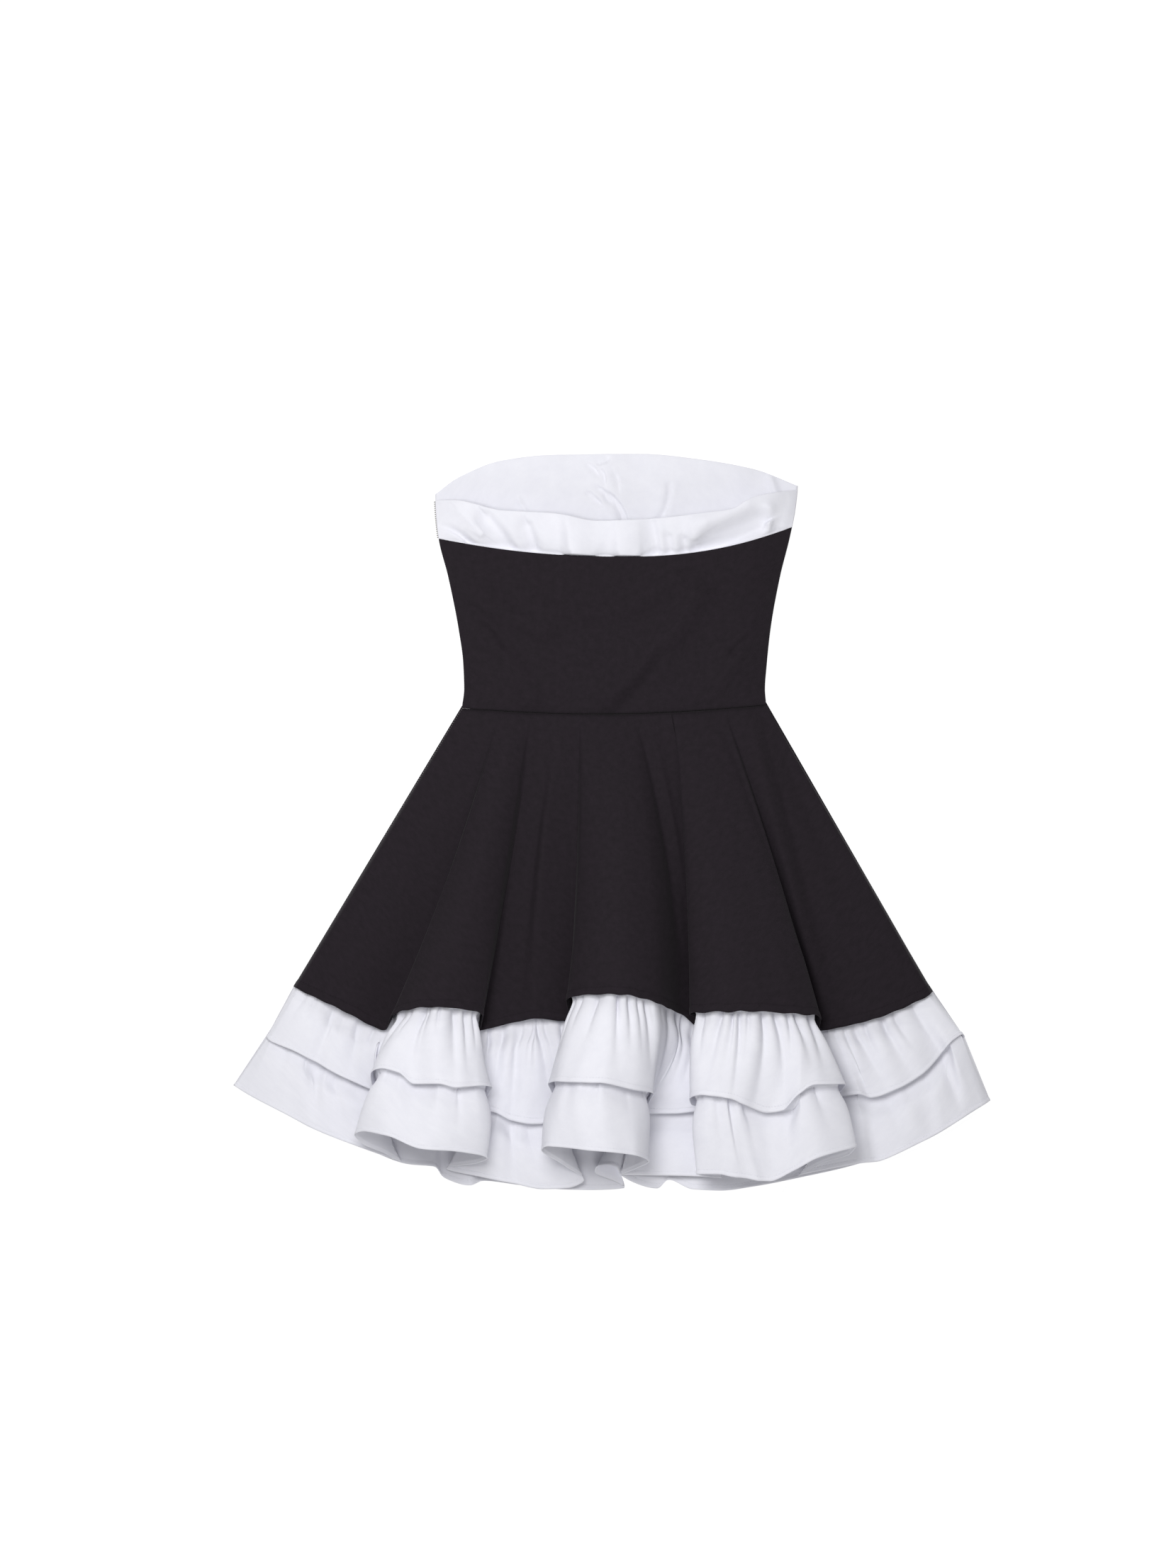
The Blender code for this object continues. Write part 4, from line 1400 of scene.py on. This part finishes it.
def make_zip_teeth():
    """Make the row of moulded teeth along the tape's outer edge."""
    points, faces = [], []
    rings, sides = 5, 8
    turns = np.pi * np.arange(rings) / (rings - 1)
    angles = 2 * np.pi * np.arange(sides) / sides
    for y in np.arange(ZIP_END_Y + TOOTH_PITCH, ZIP_TOP_Y, TOOTH_PITCH):
        index = len(points) + np.arange(rings * sides).reshape(rings, sides)
        edge = zip_edge(y)
        middle = edge - TEETH_OUT if y > band_seam_y(edge) else edge + TEETH_IN
        for turn in turns:
            out = max(np.sin(turn), 0.02) ** 0.5
            for angle in angles:
                wide = HALF_TOOTH * TOOTH_PITCH * out * np.cos(angle)
                high = TOOTH_LIFT + TOOTH_HEIGHT * out * np.sin(angle)
                points.append((middle - TOOTH_REACH * np.cos(turn), y + wide, ZIP_LOW + high))
        after = np.roll(index, -1, axis=1)
        rims = np.stack([index[:-1], index[1:], after[1:], after[:-1]], axis=2).reshape(-1, 4)
        faces += rims.tolist() + [index[0].tolist(), index[-1, ::-1].tolist()]
    piece = linked("zip_teeth", np.array(points), faces, finish(teeth))
    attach(piece, "root")


def make_floor(stage):
    """Make the paper floor just below the dress."""
    low = CAD_BOX[0][2] / MM - FLOOR_GAP
    corners = np.array([(-1, -1, 0), (1, -1, 0), (1, 1, 0), (-1, 1, 0)], float) * FLOOR_REACH
    floor = linked("floor", corners + (0, 0, low), [(0, 1, 2, 3)], background_paper(stage))


def make_softbox(name, power, place):
    """Make a round softbox that faces the middle of the skirt."""
    lamp = bpy.data.lights.new(name, "AREA")
    lamp.shape = "DISK"
    lamp.size = SOFTBOX_WIDTH
    lamp.energy = power
    light = bpy.data.objects.new(name, lamp)
    light.location = place
    light.rotation_euler = (Vector(place) - Vector(SKIRT_MIDDLE)).to_track_quat("Z", "Y").to_euler()
    bpy.context.scene.collection.objects.link(light)


def make_camera(height):
    """Make the camera straight above the middle of the picture."""
    lens = bpy.data.cameras.new("camera")
    lens.sensor_fit = "VERTICAL"
    lens.lens = lens.sensor_height * height / VIEW_HEIGHT
    lens.clip_end = 50
    camera = bpy.data.objects.new("camera", lens)
    camera.location = (*VIEW_MIDDLE, height)
    bpy.context.scene.collection.objects.link(camera)
    bpy.context.scene.camera = camera


def make_world(strength):
    """Make the even white light all round."""
    world = bpy.data.worlds.new("studio")
    world.use_nodes = True
    background = world.node_tree.nodes["Background"]
    background.inputs["Color"].default_value = (1, 1, 1, 1)
    background.inputs["Strength"].default_value = strength
    bpy.context.scene.world = world
    bpy.context.scene.view_settings.view_transform = "Standard"


def number_property(name, description, default, **settings):
    """Return a number that a user can change: it is never below 0."""
    return bpy.props.FloatProperty(
        name=name, description=description, default=default, **{"min": 0.0, **settings}
    )


def length_property(name, description, default):
    """Return a length in metres that a user can change, given in millimetres."""
    return number_property(name, description, default * MM, precision=4, unit="LENGTH")


def colour_property(name, description, code):
    """Return a colour that a user can change, given as an sRGB hex code."""
    return bpy.props.FloatVectorProperty(
        name=name, description=description, default=linear(code), min=0.0, max=1.0, subtype="COLOR"
    )


class DressSizes(bpy.types.PropertyGroup):
    """Sizes of the dress that a maker would change."""

    crepe_wall: length_property("Crepe", "Thickness of the black cloth", 0.9)
    poplin_wall: length_property("Poplin", "Thickness of the white cloth", 0.5)
    waist_height: length_property("Waist", "Height of the back over the floor at the waist", 9.5)
    bodice_height: length_property("Bodice", "Height of the back over the floor at mid bodice", 17.0)
    band_height: length_property("Band seam", "Height of the seam below the bust band", 15.0)
    band_puff: length_property("Band puff", "How far the bust band puffs out", 8.5)
    tuck: length_property("Tuck", "How far a ruffle lies in below the hem above it", 4.5)
    gather_depth: number_property(
        "Gathers", "Depth of the gathers, as a share of the real ones", 1.0, max=1.5, subtype="FACTOR"
    )


class DressColours(bpy.types.PropertyGroup):
    """Colours of the cloths and of the zip."""

    crepe_dark: colour_property("Crepe, dark", "Darker tone of the black cloth", "#141014")
    crepe_light: colour_property("Crepe, light", "Lighter tone of the black cloth", "#272027")
    poplin_dark: colour_property("Poplin, dark", "Darker tone of the white cloth", "#DFDFE7")
    poplin_light: colour_property("Poplin, light", "Lighter tone of the white cloth", "#ECECF2")
    tape_dark: colour_property("Tape, dark", "Darker tone of the zip tape", "#DCDCE0")
    tape_light: colour_property("Tape, light", "Lighter tone of the zip tape", "#E8E8EC")
    teeth_dark: colour_property("Teeth, dark", "Darker tone of the zip teeth", "#6E6A6C")
    teeth_light: colour_property("Teeth, light", "Lighter tone of the zip teeth", "#B9B7B2")


class DressStage(bpy.types.PropertyGroup):
    """The floor, the lights and the camera."""

    paper: colour_property("Paper", "Colour of the floor", "#7A7A7A")
    paper_glow: number_property("Paper glow", "How brightly the floor is lit from behind", 0.9)
    key_power: number_property("Key light", "Power of the softbox above the dress, in watts", 16.0)
    hem_power: number_property("Hem light", "Power of the low softbox beyond the hem, in watts", 5.0)
    fill_strength: number_property("Fill light", "Strength of the even light all round", 0.36)
    camera_height: number_property(
        "Camera height", "Height of the camera over the floor", 4.0, min=1.0, unit="LENGTH"
    )


class DRESS_OT_bodice(bpy.types.Operator):
    """Make the black bodice, slack at the back and flat at the front"""

    bl_idname = "dress.bodice"
    bl_label = "Bodice"

    def execute(self, context):
        make_back_bodice()
        make_front_bodice()
        return {"FINISHED"}


class DRESS_OT_band(bpy.types.Operator):
    """Make the white bust band, puffed at the back and ruched at the front"""

    bl_idname = "dress.band"
    bl_label = "Bust band"

    def execute(self, context):
        make_back_band()
        make_front_band()
        return {"FINISHED"}


class DRESS_OT_back_skirt(bpy.types.Operator):
    """Make the black back skirt with its three flutes"""

    bl_idname = "dress.back_skirt"
    bl_label = "Back skirt"

    def execute(self, context):
        make_back_skirt()
        return {"FINISHED"}


class DRESS_OT_back_ruffles(bpy.types.Operator):
    """Make the two gathered white ruffles of the back"""

    bl_idname = "dress.back_ruffles"
    bl_label = "Back ruffles"

    def execute(self, context):
        make_back_ruffles()
        return {"FINISHED"}


class DRESS_OT_front_skirt(bpy.types.Operator):
    """Make the flat front skirt with its two ruffles"""

    bl_idname = "dress.front_skirt"
    bl_label = "Front skirt and ruffles"

    def execute(self, context):
        make_front_skirt_and_ruffles()
        return {"FINISHED"}


class DRESS_OT_zip(bpy.types.Operator):
    """Make the zip in the left side seam: its tape and its teeth"""

    bl_idname = "dress.zip"
    bl_label = "Side zip"

    def execute(self, context):
        make_zip_tape()
        make_zip_teeth()
        return {"FINISHED"}


class DRESS_OT_stage(bpy.types.Operator):
    """Make the floor, the lights and the camera"""

    bl_idname = "dress.stage"
    bl_label = "Stage"

    def execute(self, context):
        stage = context.scene.dress_stage
        make_floor(stage)
        make_softbox("key_light", stage.key_power, KEY_PLACE)
        make_softbox("hem_light", stage.hem_power, HEM_PLACE)
        make_world(stage.fill_strength)
        make_camera(stage.camera_height)
        return {"FINISHED"}


OPERATORS = (
    DRESS_OT_bodice,
    DRESS_OT_band,
    DRESS_OT_back_skirt,
    DRESS_OT_back_ruffles,
    DRESS_OT_front_skirt,
    DRESS_OT_zip,
    DRESS_OT_stage,
)
GROUPS = {
    "dress_sizes": DressSizes,
    "dress_colours": DressColours,
    "dress_stage": DressStage,
}


class DRESS_PT_panel(bpy.types.Panel):
    """Lists the dress's sizes and colours, and a button for each piece"""

    bl_idname = "DRESS_PT_panel"
    bl_label = "Dress"
    bl_space_type = "VIEW_3D"
    bl_region_type = "UI"
    bl_category = "Dress"

    def draw(self, context):
        for name, group in GROUPS.items():
            box = self.layout.box()
            for field in group.__annotations__:
                box.prop(getattr(context.scene, name), field)
        for operator in OPERATORS:
            self.layout.operator(operator.bl_idname)


def register():
    """Register the properties, the operators and the panel."""
    for name, group in GROUPS.items():
        bpy.utils.register_class(group)
        setattr(bpy.types.Scene, name, bpy.props.PointerProperty(type=group))
    for kind in (*OPERATORS, DRESS_PT_panel):
        bpy.utils.register_class(kind)


def unregister():
    """Remove what register added."""
    for kind in (DRESS_PT_panel, *reversed(OPERATORS)):
        bpy.utils.unregister_class(kind)
    for name, group in GROUPS.items():
        delattr(bpy.types.Scene, name)
        bpy.utils.unregister_class(group)


def main():
    """Build the dress and its stage."""
    register()
    bpy.ops.dress.bodice()
    bpy.ops.dress.band()
    bpy.ops.dress.back_skirt()
    bpy.ops.dress.back_ruffles()
    bpy.ops.dress.front_skirt()
    bpy.ops.dress.zip()
    bpy.ops.dress.stage()


if __name__ == "__main__":
    main()
